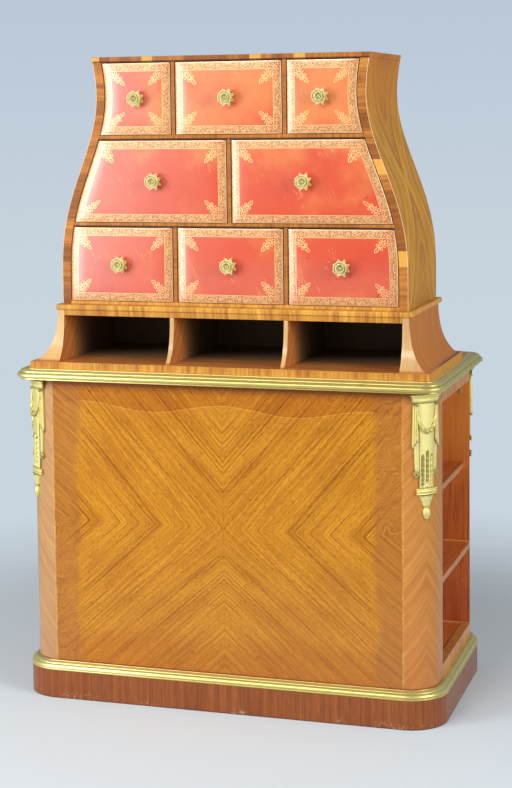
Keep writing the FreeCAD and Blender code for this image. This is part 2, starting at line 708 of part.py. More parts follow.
def shank_hole(cell):
    length = LEATHER_THICKNESS + FRONT_THICKNESS
    radius = KNOB_SHANK_RADIUS + KNOB_SHANK_CLEARANCE
    return facing_front(Part.makeCylinder(radius, length, ORIGIN, -UP), knob_place(cell))


def drawer_leather(cell):
    name, x0, x1, low, high = cell
    sheet = in_cell(cell, FRONT_GAP, LEATHER_FRONT, LEATHER_BACK, low + RUN_GAP, high - FRONT_GAP)
    rounding = min(LEATHER_ROUNDING, 0.9 * LEATHER_THICKNESS)
    rim = [edge for edge in sheet.Edges if edge.BoundBox.YMax < LEATHER_FRONT + rounding / 2]
    return sheet.makeFillet(rounding, rim).cut(shank_hole(cell))


def drawer_box(cell):
    """Front board, two sides, back, and a bottom let into grooves in them."""
    name, x0, x1, low, high = cell
    foot = low + RUN_GAP
    head = high - HEAD_GAP
    inner = FRONT_GAP + DRAWER_BOARD
    front = in_cell(cell, FRONT_GAP, LEATHER_BACK, FRONT_BACK, foot, high - FRONT_GAP)
    outside = in_cell(cell, FRONT_GAP, FRONT_BACK, DRAWER_END, foot, head)
    sides = outside.cut(in_cell(cell, inner, FRONT_BACK, DRAWER_END, foot, head))
    back = in_cell(cell, inner, DRAWER_END - DRAWER_BOARD, DRAWER_END, foot, head)
    bottom_foot = foot + DRAWER_BOTTOM_RISE
    bottom = in_cell(
        cell,
        inner - DRAWER_GROOVE,
        FRONT_BACK - DRAWER_GROOVE,
        DRAWER_END - DRAWER_BOARD + DRAWER_GROOVE,
        bottom_foot,
        bottom_foot + DRAWER_BOTTOM,
    )
    front = front.cut(shank_hole(cell)).cut(bottom)
    boards = [front, *sides.cut(bottom).Solids, back.cut(bottom), bottom]
    return Part.makeCompound(boards)


def flower_knob():
    """Leafed rose and domed boss on a stem, with a shank through the drawer front."""
    grip = LEATHER_THICKNESS + FRONT_THICKNESS + NUT_HEIGHT
    shank = Part.makeCylinder(KNOB_SHANK_RADIUS, grip, Vector(0, 0, -grip))
    stem = Part.makeCylinder(KNOB_STEM_RADIUS, KNOB_STEM_LENGTH)
    points = []
    for index in range(2 * KNOB_LEAVES):
        radius = KNOB_LEAF_NOTCH_RADIUS if index % 2 else KNOB_LEAF_RADIUS
        angle = math.pi * index / KNOB_LEAVES
        points.append(Vector(radius * math.cos(angle), radius * math.sin(angle), KNOB_LEAF_RISE))
    star = polygon(points).extrude(UP * KNOB_LEAF_THICKNESS)
    bowl_place = Vector(0, 0, KNOB_LEAF_RISE)
    bowl = Part.makeCone(KNOB_LEAF_NOTCH_RADIUS, KNOB_LEAF_RADIUS, KNOB_LEAF_THICKNESS, bowl_place)
    rose = star.common(bowl)
    crown = KNOB_STEM_LENGTH + KNOB_BOSS_HEIGHT
    dome_radius = (KNOB_BOSS_RADIUS ** 2 + KNOB_BOSS_HEIGHT ** 2) / (2 * KNOB_BOSS_HEIGHT)
    ball = Part.makeSphere(dome_radius, Vector(0, 0, crown - dome_radius))
    boss = ball.common(Part.makeCylinder(2 * dome_radius, KNOB_BOSS_HEIGHT, Vector(0, 0, KNOB_STEM_LENGTH)))
    return shank.multiFuse([stem, rose, boss]).removeSplitter()


def knob_nut():
    """Six-sided nut on the shank, against the back of the drawer front."""
    seat = -LEATHER_THICKNESS - FRONT_THICKNESS
    corners = []
    for index in range(6):
        angle = math.pi * index / 3
        corners.append(Vector(NUT_RADIUS * math.cos(angle), NUT_RADIUS * math.sin(angle), seat))
    block = polygon(corners).extrude(-UP * NUT_HEIGHT)
    bore = Part.makeCylinder(KNOB_SHANK_RADIUS, NUT_HEIGHT, Vector(0, 0, seat), -UP)
    return block.cut(bore)


def drawer_knob(cell):
    return facing_front(Part.makeCompound([flower_knob(), knob_nut()]), knob_place(cell))


def low_cabinet():
    pieces = {
        "plinth": plinth(),
        "plinth_band": plinth_band(),
        "bottom_board": bottom_board(),
        "front_panel": face_panel(-1),
        "back_panel": face_panel(1),
        "centre_partition": centre_partition(),
        "left_shelves": shelves(-1),
        "right_shelves": shelves(1),
        "side_rails": side_rails(),
        "shelf_catches": shelf_catches(),
        "base_top": base_top(),
        "top_moulding": top_moulding(),
    }
    for name, side, end in CORNERS:
        pieces[f"{name}_post"] = corner_post(side, end)
        pieces[f"{name}_mount"] = corner_mount(side, end)
    return pieces


def upper_unit():
    pieces = {
        "pigeonhole_floor": niche_floor(),
        "pigeonhole_left_side": niche_side(-1),
        "pigeonhole_right_side": niche_side(1),
        "pigeonhole_dividers": niche_dividers(),
        "pigeonhole_top": niche_top(),
        "pigeonhole_back": niche_back(),
        "ledge": ledge(),
        "case_bottom": case_level(CASE_INSIDE, UPPER_BACK, CASE_FOOT, LOWER_ROW),
        "case_left_side": case_side(-1),
        "case_right_side": case_side(1),
        "case_top": case_level(CASE_OUTSIDE, UPPER_BACK, CASE_TOP, OVERALL_TOP),
        "case_back": case_back(),
        "dust_boards": dust_boards(),
    }
    for row, z0, z1, middles, places in ROWS:
        pieces[f"{row}_row_dividers"] = row_dividers(z0, z1, middles)
    return pieces


def drawers():
    pieces = {}
    for cell in drawer_cells():
        name = cell[0]
        pieces[f"{name}_box"] = drawer_box(cell)
        pieces[f"{name}_leather"] = drawer_leather(cell)
        pieces[f"{name}_knob"] = drawer_knob(cell)
    return pieces


os.makedirs("parts", exist_ok=True)
for node, shape in {**low_cabinet(), **upper_unit(), **drawers()}.items():
    shape.exportStep(f"parts/{node}.step")
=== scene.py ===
import json
import math

import bmesh
import bpy
from mathutils import Matrix, Vector

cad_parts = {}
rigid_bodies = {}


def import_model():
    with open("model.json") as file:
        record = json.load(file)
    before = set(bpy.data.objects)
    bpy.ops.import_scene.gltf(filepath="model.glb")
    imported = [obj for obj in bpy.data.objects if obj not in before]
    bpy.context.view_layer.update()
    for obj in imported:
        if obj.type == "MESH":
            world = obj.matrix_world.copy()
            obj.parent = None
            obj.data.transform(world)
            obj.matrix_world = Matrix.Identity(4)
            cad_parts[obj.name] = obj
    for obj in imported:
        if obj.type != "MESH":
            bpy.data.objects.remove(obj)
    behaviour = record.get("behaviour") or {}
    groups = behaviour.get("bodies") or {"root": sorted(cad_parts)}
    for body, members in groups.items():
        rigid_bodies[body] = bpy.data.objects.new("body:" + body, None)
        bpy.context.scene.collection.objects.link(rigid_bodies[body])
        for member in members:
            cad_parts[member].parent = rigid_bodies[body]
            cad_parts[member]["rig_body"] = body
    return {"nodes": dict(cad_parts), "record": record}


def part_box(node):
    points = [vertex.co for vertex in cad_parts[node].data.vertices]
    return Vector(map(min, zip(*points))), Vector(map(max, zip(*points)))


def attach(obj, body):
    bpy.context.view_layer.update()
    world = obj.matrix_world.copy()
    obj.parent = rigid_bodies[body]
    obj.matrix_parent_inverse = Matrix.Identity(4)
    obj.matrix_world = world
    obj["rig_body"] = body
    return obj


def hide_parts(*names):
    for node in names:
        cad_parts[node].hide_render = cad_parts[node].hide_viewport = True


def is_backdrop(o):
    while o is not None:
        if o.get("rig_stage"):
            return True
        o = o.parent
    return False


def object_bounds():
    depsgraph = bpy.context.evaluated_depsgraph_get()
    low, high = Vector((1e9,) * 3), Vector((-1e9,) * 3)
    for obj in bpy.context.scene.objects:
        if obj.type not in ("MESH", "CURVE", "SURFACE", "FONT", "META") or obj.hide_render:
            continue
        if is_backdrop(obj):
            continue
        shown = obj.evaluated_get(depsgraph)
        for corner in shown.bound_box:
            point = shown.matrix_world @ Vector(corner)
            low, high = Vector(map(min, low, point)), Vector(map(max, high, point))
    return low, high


bl_info = {
    "name": "Cartonnier",
    "version": (1, 0, 0),
    "blender": (4, 5, 0),
    "location": "View3D > Sidebar > Cartonnier",
    "description": "Dresses the cartonnier in veneer, gilt bronze and tooled leather",
    "category": "Add Mesh",
}

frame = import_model()
CAD_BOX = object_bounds()
SLOTS = {row["node"]: row["material_slot"] for row in frame["record"]["subparts"]}
MM = 0.001
UP = Vector((0, 0, 1))

# Places of the low cabinet, read from the frame
POST_LOW, POST_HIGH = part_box("front_right_post")
CORNER_RADIUS = POST_HIGH.x - POST_LOW.x
CORNER_X = POST_LOW.x
CORNER_Y = -POST_LOW.y - CORNER_RADIUS
BODY_HALF = CORNER_X + CORNER_RADIUS
BODY_DEEP = CORNER_Y + CORNER_RADIUS
PLINTH_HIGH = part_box("plinth")[1]
PLINTH_THICKNESS = 40.0             # in mm
BAND_LOW, BAND_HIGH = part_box("plinth_band")
MOULDING_LOW, MOULDING_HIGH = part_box("top_moulding")
MOULDING_CORNER = 23.0 * MM         # corner radius where the moulding is flush with the body
MOUNT_LOW, MOUNT_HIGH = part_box("front_right_mount")
SHELF_THICKNESS = 14.0 * MM
FLOOR_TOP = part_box("centre_partition")[0].z
LOWER_SHELF_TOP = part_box("right_shelves")[0].z + SHELF_THICKNESS
CORNERS = (
    ("front_left", -1, -1),
    ("front_right", 1, -1),
    ("back_left", -1, 1),
    ("back_right", 1, 1),
)

# Places of the drawer case
CASE_LOW, CASE_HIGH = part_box("case_right_side")
CASE_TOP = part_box("case_top")[1].z
CASE_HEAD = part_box("case_top")[1].x
CASE_BELLY = CASE_HIGH.x
CASE_WAIST = CASE_BELLY - 93.0 * MM
BELLY_HEIGHT = 69.0 * MM            # above the case's foot
WAIST_DROP = 90.0 * MM              # below the case's top
WAIST_HEIGHT = CASE_TOP - CASE_LOW.z - WAIST_DROP
CASE_SKEW = 1.22                    # power that keeps the belly wide further up
LEATHER_INSET = CASE_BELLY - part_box("lower_right_drawer_leather")[1].x
DRAWERS = [name[:-len("_leather")] for name in sorted(SLOTS) if name.endswith("_leather")]
ROW_TOPS = [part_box(f"{row}_left_drawer_leather")[1].z for row in ("lower", "middle", "upper")]

# Lean of the veneers' grain
QUARTER_LEAN = math.radians(49)
KNOTTED_LEAN = math.radians(36)
HERRINGBONE_LEAN = math.radians(56)
CASE_LEAN = math.radians(66)

# Wavy line inlaid over and under the quartered field, in metres
WAVE_LENGTH = 0.340
WAVE_DEPTH = 0.010
WAVE_RISE = 0.270

# Lengths of the leaves that the case's banding is cut from
SIDE_LEAF = 34.0 * MM
TOP_LEAF = 26.0 * MM

# Lamps: name, place, and width and height in metres
LAMPS = (
    ("key", (-2.4, -2.75, 1.5), (1.5, 2.2)),
    ("side", (3.4, -1.6, 1.9), (1.6, 2.0)),
    ("front", (-1.0, -4.5, 3.6), (2.0, 1.2)),
)
LAMP_AIM = Vector((0, 0, 0.85))
FLOOR_RADIUS = 3.0


def paint(red, green, blue):
    """Colour on screen, from 0 to 255, as the linear colour that a shader takes."""
    linear = []
    for value in (red, green, blue):
        share = value / 255
        linear.append(share / 12.92 if share <= 0.04045 else ((share + 0.055) / 1.055) ** 2.4)
    return (*linear, 1.0)


def colour(name, description, *screen):
    return bpy.props.FloatVectorProperty(
        name=name, description=description, subtype="COLOR", size=4, min=0, max=1, default=paint(*screen)
    )


def length(name, description, millimetres):
    return bpy.props.FloatProperty(
        name=name, description=description, default=millimetres * MM, min=0, unit="LENGTH", subtype="DISTANCE"
    )


def number(name, description, default, unit="NONE"):
    return bpy.props.FloatProperty(name=name, description=description, default=default, unit=unit)


class CartonnierSizes(bpy.types.PropertyGroup):
    """Sizes of the finish that a user would change."""

    arris: length("Arris", "Width that a board's sharp edges are eased by", 0.8)
    leather_roll: length("Leather roll", "Width of the rounded rim of a drawer front", 46)
    leather_crown: length("Leather crown", "Rise of a drawer front's middle over its rim", 1.2)
    border: length("Tooled border", "Width of the gilt border on the leather", 20)
    seam_height: length("Quarter seam", "Height of the level seam of the quartered veneer", 424)
    field_half: length("Veneer field", "Half width of the quartered field on the front", 355)
    knob_leaves: bpy.props.IntProperty(
        name="Knob leaves", description="Pointed leaves behind each flower knob", default=8, min=3, max=16
    )


class CartonnierColours(bpy.types.PropertyGroup):
    """Colours of the finishes, and the tones of wear and of painted light and shade laid over them."""

    leather: colour("Leather", "Red of the drawer fronts", 224, 72, 16)
    leather_faded: colour("Faded leather", "Orange that the leather has faded to", 236, 132, 58)
    leather_deep: colour("Deep leather", "Red of the leather's darker clouds", 206, 44, 28)
    # Painted sheen to the left, and a pale wash low down
    leather_sheen_and_wash: colour("Leather bloom", "Grey bloom on the leather, left and low down", 196, 176, 166)
    leather_speck: colour("Leather specks", "Dark specks in the leather", 104, 30, 24)
    gilding: colour("Gilt tooling", "Gold pressed into the leather", 245, 209, 136)
    gold: colour("Gilt bronze", "Burnished gold of the mounts", 247, 234, 156)
    gold_shade: colour("Gold in hollows", "Green-brown of the gold's hollows", 118, 98, 34)
    gold_pale: colour("Pale gold", "Tone of the knobs' paler gilding", 250, 246, 214)
    # Painted shade over the brass lines to the right
    gold_painted_shade: colour("Dull gold", "Tint of the tarnished brass lines", 229, 222, 198)
    veneer: colour("Veneer", "Light stripes of the quartered veneer", 232, 166, 46)
    veneer_dark: colour("Veneer figure", "Dark stripes of the quartered veneer", 170, 98, 20)
    veneer_streak: colour("Veneer streaks", "Darkest streaks and flecks of the quartered veneer", 136, 66, 12)
    veneer_border: colour("Veneer border", "Tint of the quartered veneer past its wavy lines", 238, 222, 208)
    # Painted shade over the front's lower part, more to the right
    veneer_painted_shade: colour("Dull veneer", "Tone of the front's dull lower part", 164, 108, 64)
    post: colour("Post veneer", "Light stripes of the corner posts", 238, 174, 90)
    post_dark: colour("Post figure", "Dark stripes of the corner posts", 188, 120, 52)
    post_foot: colour("Post foot", "Tone of the posts' lower ends", 170, 92, 54)
    # Painted sheen on the posts at the left
    post_bleached: colour("Bleached posts", "Tone that light has bleached the left posts to", 168, 150, 126)
    case: colour("Case veneer", "Light stripes of the case's sides", 255, 190, 60)
    case_dark: colour("Case figure", "Dark stripes of the case's sides", 148, 82, 20)
    case_head: colour("Case head", "Tone of the case's sides near its top", 214, 112, 28)
    case_line: colour("Case line", "Pale line on the case's front edges", 250, 222, 184)
    banding: colour("Cross-banding", "Light streaks of the cross-banded edges", 250, 190, 84)
    banding_dark: colour("Dark banding", "Dark streaks of the cross-banded edges", 158, 88, 28)
    banding_end: colour("End banding", "Golden tone of the banding on the boards' ends", 255, 176, 40)
    rail: colour("Rails", "Light streaks of the drawer case's rails and stiles", 216, 142, 62)
    rail_dark: colour("Dark rails", "Dark streaks of the drawer case's rails and stiles", 132, 70, 26)
    stringing: colour("Stringing", "Pale inlaid lines", 252, 206, 104)
    plinth: colour("Plinth", "Light streaks of the plinth", 172, 98, 48)
    plinth_dark: colour("Plinth figure", "Dark streaks of the plinth", 112, 56, 26)
    plinth_scuff: colour("Plinth scuffs", "Bare wood where the plinth is scuffed", 190, 168, 126)
    plinth_foot_shadow: colour("Plinth foot", "Dark line where the plinth meets the floor", 58, 36, 38)
    mahogany: colour("Inside wood", "Light streaks of the open ends", 238, 138, 72)
    mahogany_dark: colour("Inside figure", "Dark streaks of the open ends", 178, 82, 38)
    mahogany_pale: colour("Pale inside", "Tone of the open ends near their top", 255, 164, 70)
    mahogany_red: colour("Red inside", "Tone of the open ends low down", 160, 53, 49)
    upright: colour("Uprights", "Tone of the pigeonholes' outer sides", 196, 100, 20)
    upright_edge: colour("Upright edges", "Pale tone of the uprights' front edges", 252, 222, 170)
    # Painted shade deep in the pigeonholes and behind the drawers
    shade: colour("Shade", "Tone of the pigeonholes' depth", 104, 90, 70)
    # Painted shadow: dark lines over each row of drawers and round each leather, where the gaps fall in shade
    gap_shadow: colour("Soil", "Dirt over the rows of drawers and round the leathers", 66, 26, 14)
    oak: colour("Drawer wood", "Light streaks of the drawers' boards", 196, 150, 92)
    oak_dark: colour("Drawer figure", "Dark streaks of the drawers' boards", 138, 96, 50)


class CartonnierStage(bpy.types.PropertyGroup):
    """Camera, lamps and floor."""

    lens: number("Lens", "Focal length in millimetres", 80.24, "CAMERA")
    eye: bpy.props.FloatVectorProperty(
        name="Eye", description="Place of the camera", size=3, default=(1.2396, -3.9712, 1.3610),
        unit="LENGTH",
    )
    yaw: number("Yaw", "Turn to the left", 0.3010, "ROTATION")
    pitch: number("Pitch", "Tilt down", 0.0831, "ROTATION")
    roll: number("Roll", "Tilt sideways", -0.0113, "ROTATION")
    shift: number("Shift", "Upright shift of the picture", -0.17)
    key: number("Key", "Power of the lamp at the left", 86, "POWER")
    side: number("Side", "Power of the lamp at the right", 80, "POWER")
    front: number("Front", "Power of the lamp in front", 88, "POWER")
    sky: number("Sky", "Strength of the light all round", 0.25)
    dim: number("Dim", "Share of the backdrop seen in reflections", 0.4)
    backdrop: colour("Backdrop", "Colour of the backdrop high up", 186, 199, 216)
    backdrop_low: colour("Low backdrop", "Colour of the backdrop behind the cabinet", 200, 213, 222)
    floor: colour("Floor", "Colour of the floor", 226, 237, 245)


def sizes():
    return bpy.context.scene.cartonnier_sizes


def colours():
    return bpy.context.scene.cartonnier_colours


# Shading

class Field:
    """A value that varies over a surface. Arithmetic on it adds the nodes that work it out."""

    def __init__(self, tree, socket):
        self.tree = tree
        self.socket = socket

    def math(self, operation, *others):
        node = self.tree.nodes.new("ShaderNodeMath")
        node.operation = operation
        for value, socket in zip((self, *others), node.inputs):
            feed(self.tree, value, socket)
        return Field(self.tree, node.outputs[0])

    def __add__(self, other):
        return self.math("ADD", other)

    def __sub__(self, other):
        return self.math("SUBTRACT", other)

    def __mul__(self, other):
        return self.math("MULTIPLY", other)

    def __truediv__(self, other):
        return self.math("DIVIDE", other)

    def __abs__(self):
        return self.math("ABSOLUTE")

    def least(self, other):
        return self.math("MINIMUM", other)

    def most(self, *others):
        largest = self
        for other in others:
            largest = largest.math("MAXIMUM", other)
        return largest

    def fade(self, start, end):
        """Goes smoothly from 0 at one value to 1 at the other."""
        node = self.tree.nodes.new("ShaderNodeMapRange")
        node.interpolation_type = "SMOOTHSTEP"
        for name, value in (("Value", self), ("From Min", start), ("From Max", end)):
            feed(self.tree, value, node.inputs[name])
        return Field(self.tree, node.outputs["Result"])

    def near(self, value, width, soft):
        """1 within half a width of a value, with soft edges."""
        return abs(self - value).fade(width / 2 + soft, width / 2 - soft)


def feed(tree, value, socket):
    """Links a field or socket to an input, or sets a plain value on it."""
    if isinstance(value, Field):
        tree.links.new(value.socket, socket)
    elif isinstance(value, bpy.types.NodeSocket):
        tree.links.new(value, socket)
    else:
        socket.default_value = value


class Shader:
    """Node tree of a material, a group or the world, with short ways to add its nodes."""

    def __init__(self, tree):
        self.tree = tree

    def node(self, kind, inputs=None, **settings):
        made = self.tree.nodes.new(kind)
        for name, value in settings.items():
            setattr(made, name, value)
        for name, value in (inputs or {}).items():
            feed(self.tree, value, made.inputs[name])
        return made

    def field(self, socket):
        return Field(self.tree, socket)

    def coordinate(self, name):
        return self.node("ShaderNodeTexCoord").outputs[name]

    def parts(self, vector):
        """The x, y and z of a vector."""
        split = self.node("ShaderNodeSeparateXYZ", {0: vector})
        return [self.field(socket) for socket in split.outputs]

    def attribute(self, name):
        return self.field(self.node("ShaderNodeAttribute", attribute_name=name).outputs["Fac"])

    def point(self, x, y, z=0.0):
        return self.node("ShaderNodeCombineXYZ", {0: x, 1: y, 2: z}).outputs[0]

    def apart(self, x, y):
        """Length of a step of x and y."""
        node = self.node("ShaderNodeVectorMath", {0: self.point(x, y)}, operation="LENGTH")
        return self.field(node.outputs["Value"])

    def noise(self, vector, scale, detail, rough=0.55):
        inputs = {"Vector": vector, "Scale": scale, "Detail": detail, "Roughness": rough}
        return self.field(self.node("ShaderNodeTexNoise", inputs).outputs[0])

    def streaks(self, x, y, z=0.0, detail=2.0, rough=0.55):
        """Noise that is drawn out along the axes whose values run slowly."""
        return self.noise(self.point(x, y, z), 1.0, detail, rough)

    def chance(self, value):
        """A different value from 0 to 1 for each different number."""
        node = self.node("ShaderNodeTexWhiteNoise", {"W": value}, noise_dimensions="1D")
        return self.field(node.outputs["Value"])

    def mix(self, share, first, second, blend="MIX"):
        node = self.node("ShaderNodeMix", data_type="RGBA", blend_type=blend)
        for value, index in ((share, 0), (first, 6), (second, 7)):
            feed(self.tree, value, node.inputs[index])
        return node.outputs[2]

    def group(self, tree, **inputs):
        """Outputs of a node group by name."""
        node = self.node("ShaderNodeGroup", node_tree=tree)
        for name, value in inputs.items():
            feed(self.tree, value, node.inputs[name.title()])
        return {socket.name: self.field(socket) for socket in node.outputs}

    def bump(self, height, distance, strength):
        inputs = {"Height": height, "Distance": distance, "Strength": strength}
        return self.node("ShaderNodeBump", inputs).outputs[0]


class Finish(Shader):
    """Shader of a material, with the point's place in the object's frame and the colours of the finishes."""

    def __init__(self, name):
        self.material = bpy.data.materials.new(name)
        self.material.use_nodes = True
        super().__init__(self.material.node_tree)
        self.paints = colours()
        self.spot = self.coordinate("Object")
        self.x, self.y, self.z = self.parts(self.spot)

    def out(self, axis):
        """How far the surface looks along an axis, from -1 to 1."""
        return self.parts(self.coordinate("Normal"))["xyz".index(axis)]

    def front(self):
        """How far the surface looks to the front, from -1 to 1."""
        return self.out("y") * -1.0

    def surface(self, inputs):
        """Feeds the material's surface, by the names of its inputs."""
        sockets = self.tree.nodes["Principled BSDF"].inputs
        for name, value in inputs.items():
            feed(self.tree, value, sockets[name])


class Effect(Shader):
    """Node group with numbers or vectors for its inputs and numbers for its outputs."""

    def __init__(self, name, vectors, numbers, outputs):
        super().__init__(bpy.data.node_groups.new(name, "ShaderNodeTree"))
        rows = [(label, "INPUT", "NodeSocketVector") for label in vectors]
        rows += [(label, "INPUT", "NodeSocketFloat") for label in numbers]
        rows += [(label, "OUTPUT", "NodeSocketFloat") for label in outputs]
        for label, way, kind in rows:
            self.tree.interface.new_socket(name=label, in_out=way, socket_type=kind)
        self.given = {socket.name: self.field(socket) for socket in self.node("NodeGroupInput").outputs}

    def result(self, **outputs):
        """Feeds the outputs by name, and gives the finished group."""
        self.node("NodeGroupOutput", {name.title(): value for name, value in outputs.items()})
        return self.tree


def once(make):
    """Keeps what a function makes, so that it is built one time."""
    kept = {}

    def made(*arguments):
        if arguments not in kept:
            kept[arguments] = make(*arguments)
        return kept[arguments]

    return made


@once
def grain_group():
    """Tone and height of wood whose grain runs along the X of a vector in metres."""
    grain = Effect("wood_grain", ["Vector"], ["Stripes"], ["Tone", "Height"])
    vector, stripes = grain.given["Vector"], grain.given["Stripes"]
    along, across, deep = grain.parts(vector)
    across = across + (grain.noise(vector, 5.0, 2.0) - 0.5) * 0.010
    wide, ridged = (across * stripes, deep * stripes), (across * stripes * 1.7, deep * stripes * 1.7)
    broad = grain.streaks(along * 2.5, *wide, 4.0, 0.66)
    ridge = grain.streaks(along * 3.5, *ridged, 1.0)
    fine = grain.streaks(along * 6.0, across * 420.0, deep * 420.0)
    pores = grain.streaks(along * 45.0, across * 1500.0, deep * 1500.0, 1.0).fade(0.62, 0.72)
    flecks = grain.streaks(along * 36.0, across * 300.0, deep * 300.0).fade(0.52, 0.72)
    cloud = grain.noise(vector, 7.0, 3.0).fade(0.30, 0.70)
    dark_lines = abs(ridge - 0.5).fade(0.035, 0.0)
    pale_lines = abs(ridge - 0.60).fade(0.022, 0.0)
    fibre = fine.fade(0.25, 0.75)
    tone = broad.fade(0.30, 0.70) * 0.50 + fibre * 0.24 + cloud * 0.18 + pale_lines * 0.26
    tone = tone * (pores * -0.35 + 1.0) * (dark_lines * -0.50 + 1.0) * (flecks * -0.34 + 1.0)
    return grain.result(tone=tone, height=fibre * 0.5 - pores)


def wood_colour(wood, vector, light, dark, stripes):
    """Colour and height of a wood surface."""
    grain = wood.group(grain_group(), vector=vector, stripes=stripes)
    return wood.mix(grain["Tone"], dark, light), grain["Height"]


def lacquered(name, roughness, coat=0.0):
    """Turns a rule for a wood's colour and height into a polished material that is built one time.

    Where the rule gives a third value, that is the clear coat."""
    def wrap(rule):
        def make():
            wood = Finish(name)
            base, height, *own_coat = rule(wood)
            wood.surface({
                "Base Color": base,
                "Roughness": wood.noise(wood.spot, 9.0, 4.0) * 0.16 + (roughness - 0.08),
                "Normal": wood.bump(height, 0.2 * MM, 0.35),
                "Specular IOR Level": 0.20,
                "Coat Weight": own_coat[0] if own_coat else coat,
                "Coat Roughness": 0.18,
            })
            return wood.material

        return once(make)

    return wrap


def cross_banding(wood, run, across, light, dark):
    """Colour and height of veneer laid across an edge, by the way along it and across it."""
    run = run + wood.streaks(run * 45.0, across * 70.0) * 0.004
    streak = wood.streaks(run * 430.0, across * 12.0).fade(0.28, 0.72)
    broad = wood.streaks(run * 120.0, across * 8.0).fade(0.30, 0.70)
    patch = wood.streaks(run * 24.0, across * 4.0).fade(0.32, 0.68)
    knot = wood.streaks(run * 60.0, across * 40.0, detail=1.0).fade(0.74, 0.80)
    tone = (streak * 0.32 + broad * 0.40 + patch * 0.30) * (knot * -0.6 + 1.0)
    return wood.mix(tone, dark, light), streak


def quartered(side, height, angle):
    """Ways along and across the grain of veneer that meets in four mirrored quarters."""
    turn, rise = math.cos(angle), math.sin(angle)
    across, up = abs(side), abs(height)
    return across * turn + up * rise, up * turn - across * rise


def inside_wood(wood):
    """Wood of the open ends, paler to the top, with a painted highlight along the floor and lower shelf."""
    paints, x, y, z = wood.paints, wood.x, wood.y, wood.z
    vector = wood.point(z, x + y * 0.7, y * 0.3)
    base, height = wood_colour(wood, vector, paints.mahogany, paints.mahogany_dark, 45.0)
    base = wood.mix(z.fade(0.42, 0.60) * 0.5, base, paints.mahogany_pale)
    base = wood.mix(z.fade(0.34, 0.18) * 0.3, base, paints.mahogany_red)
    # Painted highlight: a pale line in the stringing colour along the foot of the walls, on the floor and the
    # lower shelf
    for level in (FLOOR_TOP, LOWER_SHELF_TOP):
        line = z.near(level + 1.6 * MM, 3.0 * MM, 0.4 * MM)
        base = wood.mix(line * 0.7, base, paints.stringing)
    return base, height


def with_inside(wood, base):
    """Veneer of the cabinet's front and back, with the open ends' wood on the faces that look inwards."""
    inwards = (wood.out("y") * wood.y.math("SIGN")).fade(-0.4, -0.7)
    return wood.mix(inwards, base, inside_wood(wood)[0])


def painted_shade_by_brass_lines(wood, base):
    """Veneer with painted shade under the moulding and over the band."""
    brass_line_shade = wood.z.fade(MOULDING_LOW.z - 30.0 * MM, MOULDING_LOW.z - 3.0 * MM)
    brass_line_shade = brass_line_shade.most(wood.z.fade(BAND_HIGH.z + 5.0 * MM, BAND_HIGH.z + 1.0 * MM))
    # Painted shade: dark brown under the moulding and just over the band
    return wood.mix(brass_line_shade * 0.78, base, wood.paints.plinth_dark)


def seam_line(wood, base):
    """Veneer with narrow pale banding where a front panel meets a post."""
    x, z = wood.x, wood.z
    line = abs(x).near(CORNER_X, 4.2 * MM, 0.4 * MM)
    feather = wood.streaks(z * 300.0 + x * 150.0, x * 8.0, detail=1.0).fade(0.3, 0.6)
    worn = wood.streaks(z * 22.0, x * 3.0).fade(0.35, 0.65)
    return wood.mix(line * (feather * 0.30 + 0.10) * (worn * 0.7 + 0.3), base, wood.paints.stringing)


@lacquered("quartered_veneer", 0.30, 0.12)
def quarter_veneer(wood):
    """Front and back of the low cabinet: quartered field, wavy pale line and knotted sides, with painted
    shade low down and under the moulding.
    """
    paints, x, z = wood.paints, wood.x, wood.z
    rise = z - sizes().seam_height
    along, across = quartered(x, rise.least(0.0) * 0.3 + rise, QUARTER_LEAN)
    field, height = wood_colour(wood, wood.point(along, across), paints.veneer, paints.veneer_dark, 105.0)
    groups = wood.streaks(along * 1.2, across * 17.0, detail=1.0).fade(0.36, 0.56)
    streaks = wood.streaks(along * 2.0, across * 170.0).fade(0.55, 0.63)
    flecks = wood.streaks(along * 90.0, across * 260.0).fade(0.48, 0.66)
    field = wood.mix(streaks * groups * 0.55 + flecks * 0.34, field, paints.veneer_streak)
    border = wood.mix(1.0, field, paints.veneer_border, "MULTIPLY")
    wave = (abs(x) * (2 * math.pi / WAVE_LENGTH)).math("COSINE") * WAVE_DEPTH + WAVE_RISE
    above = abs(rise) - wave
    swirl = wood.noise(wood.point(x, z), 15.0, 3.0) - 0.5
    beside = abs(x) - sizes().field_half + swirl * 0.05
    knotted = wood.point(*quartered(x + swirl * 0.10, rise - swirl * 0.08, KNOTTED_LEAN))
    burl = wood_colour(wood, knotted, paints.rail, paints.plinth_dark, 150.0)[0]
    upper = rise.fade(-0.01, 0.01)
    strip = wood.mix(upper, above.fade(-0.040, 0.020), above.fade(-0.0005, 0.0005))
    base = wood.mix(strip, field, border)
    base = wood.mix(beside.fade(-0.010, 0.010) * 0.68, base, burl)
    pale = above.near(0.0, 1.3 * MM, 0.5 * MM) * beside.fade(0.002, -0.002)
    base = wood.mix(pale * (upper * 0.28 + 0.06), base, paints.stringing)
    # Painted shade: the front darkens towards the bottom, more to the right
    shade_low_right = z.fade(0.46, 0.08) * (x.fade(-0.3, 0.4) * 0.16 + 0.14)
    base = seam_line(wood, wood.mix(shade_low_right, base, paints.veneer_painted_shade))
    seams = abs(x).near(0.0, 0.9 * MM, 0.3 * MM).most(abs(rise).near(0.0, 0.9 * MM, 0.3 * MM))
    base = painted_shade_by_brass_lines(wood, wood.mix(seams * 0.45, base, paints.veneer_dark))
    return with_inside(wood, base), height


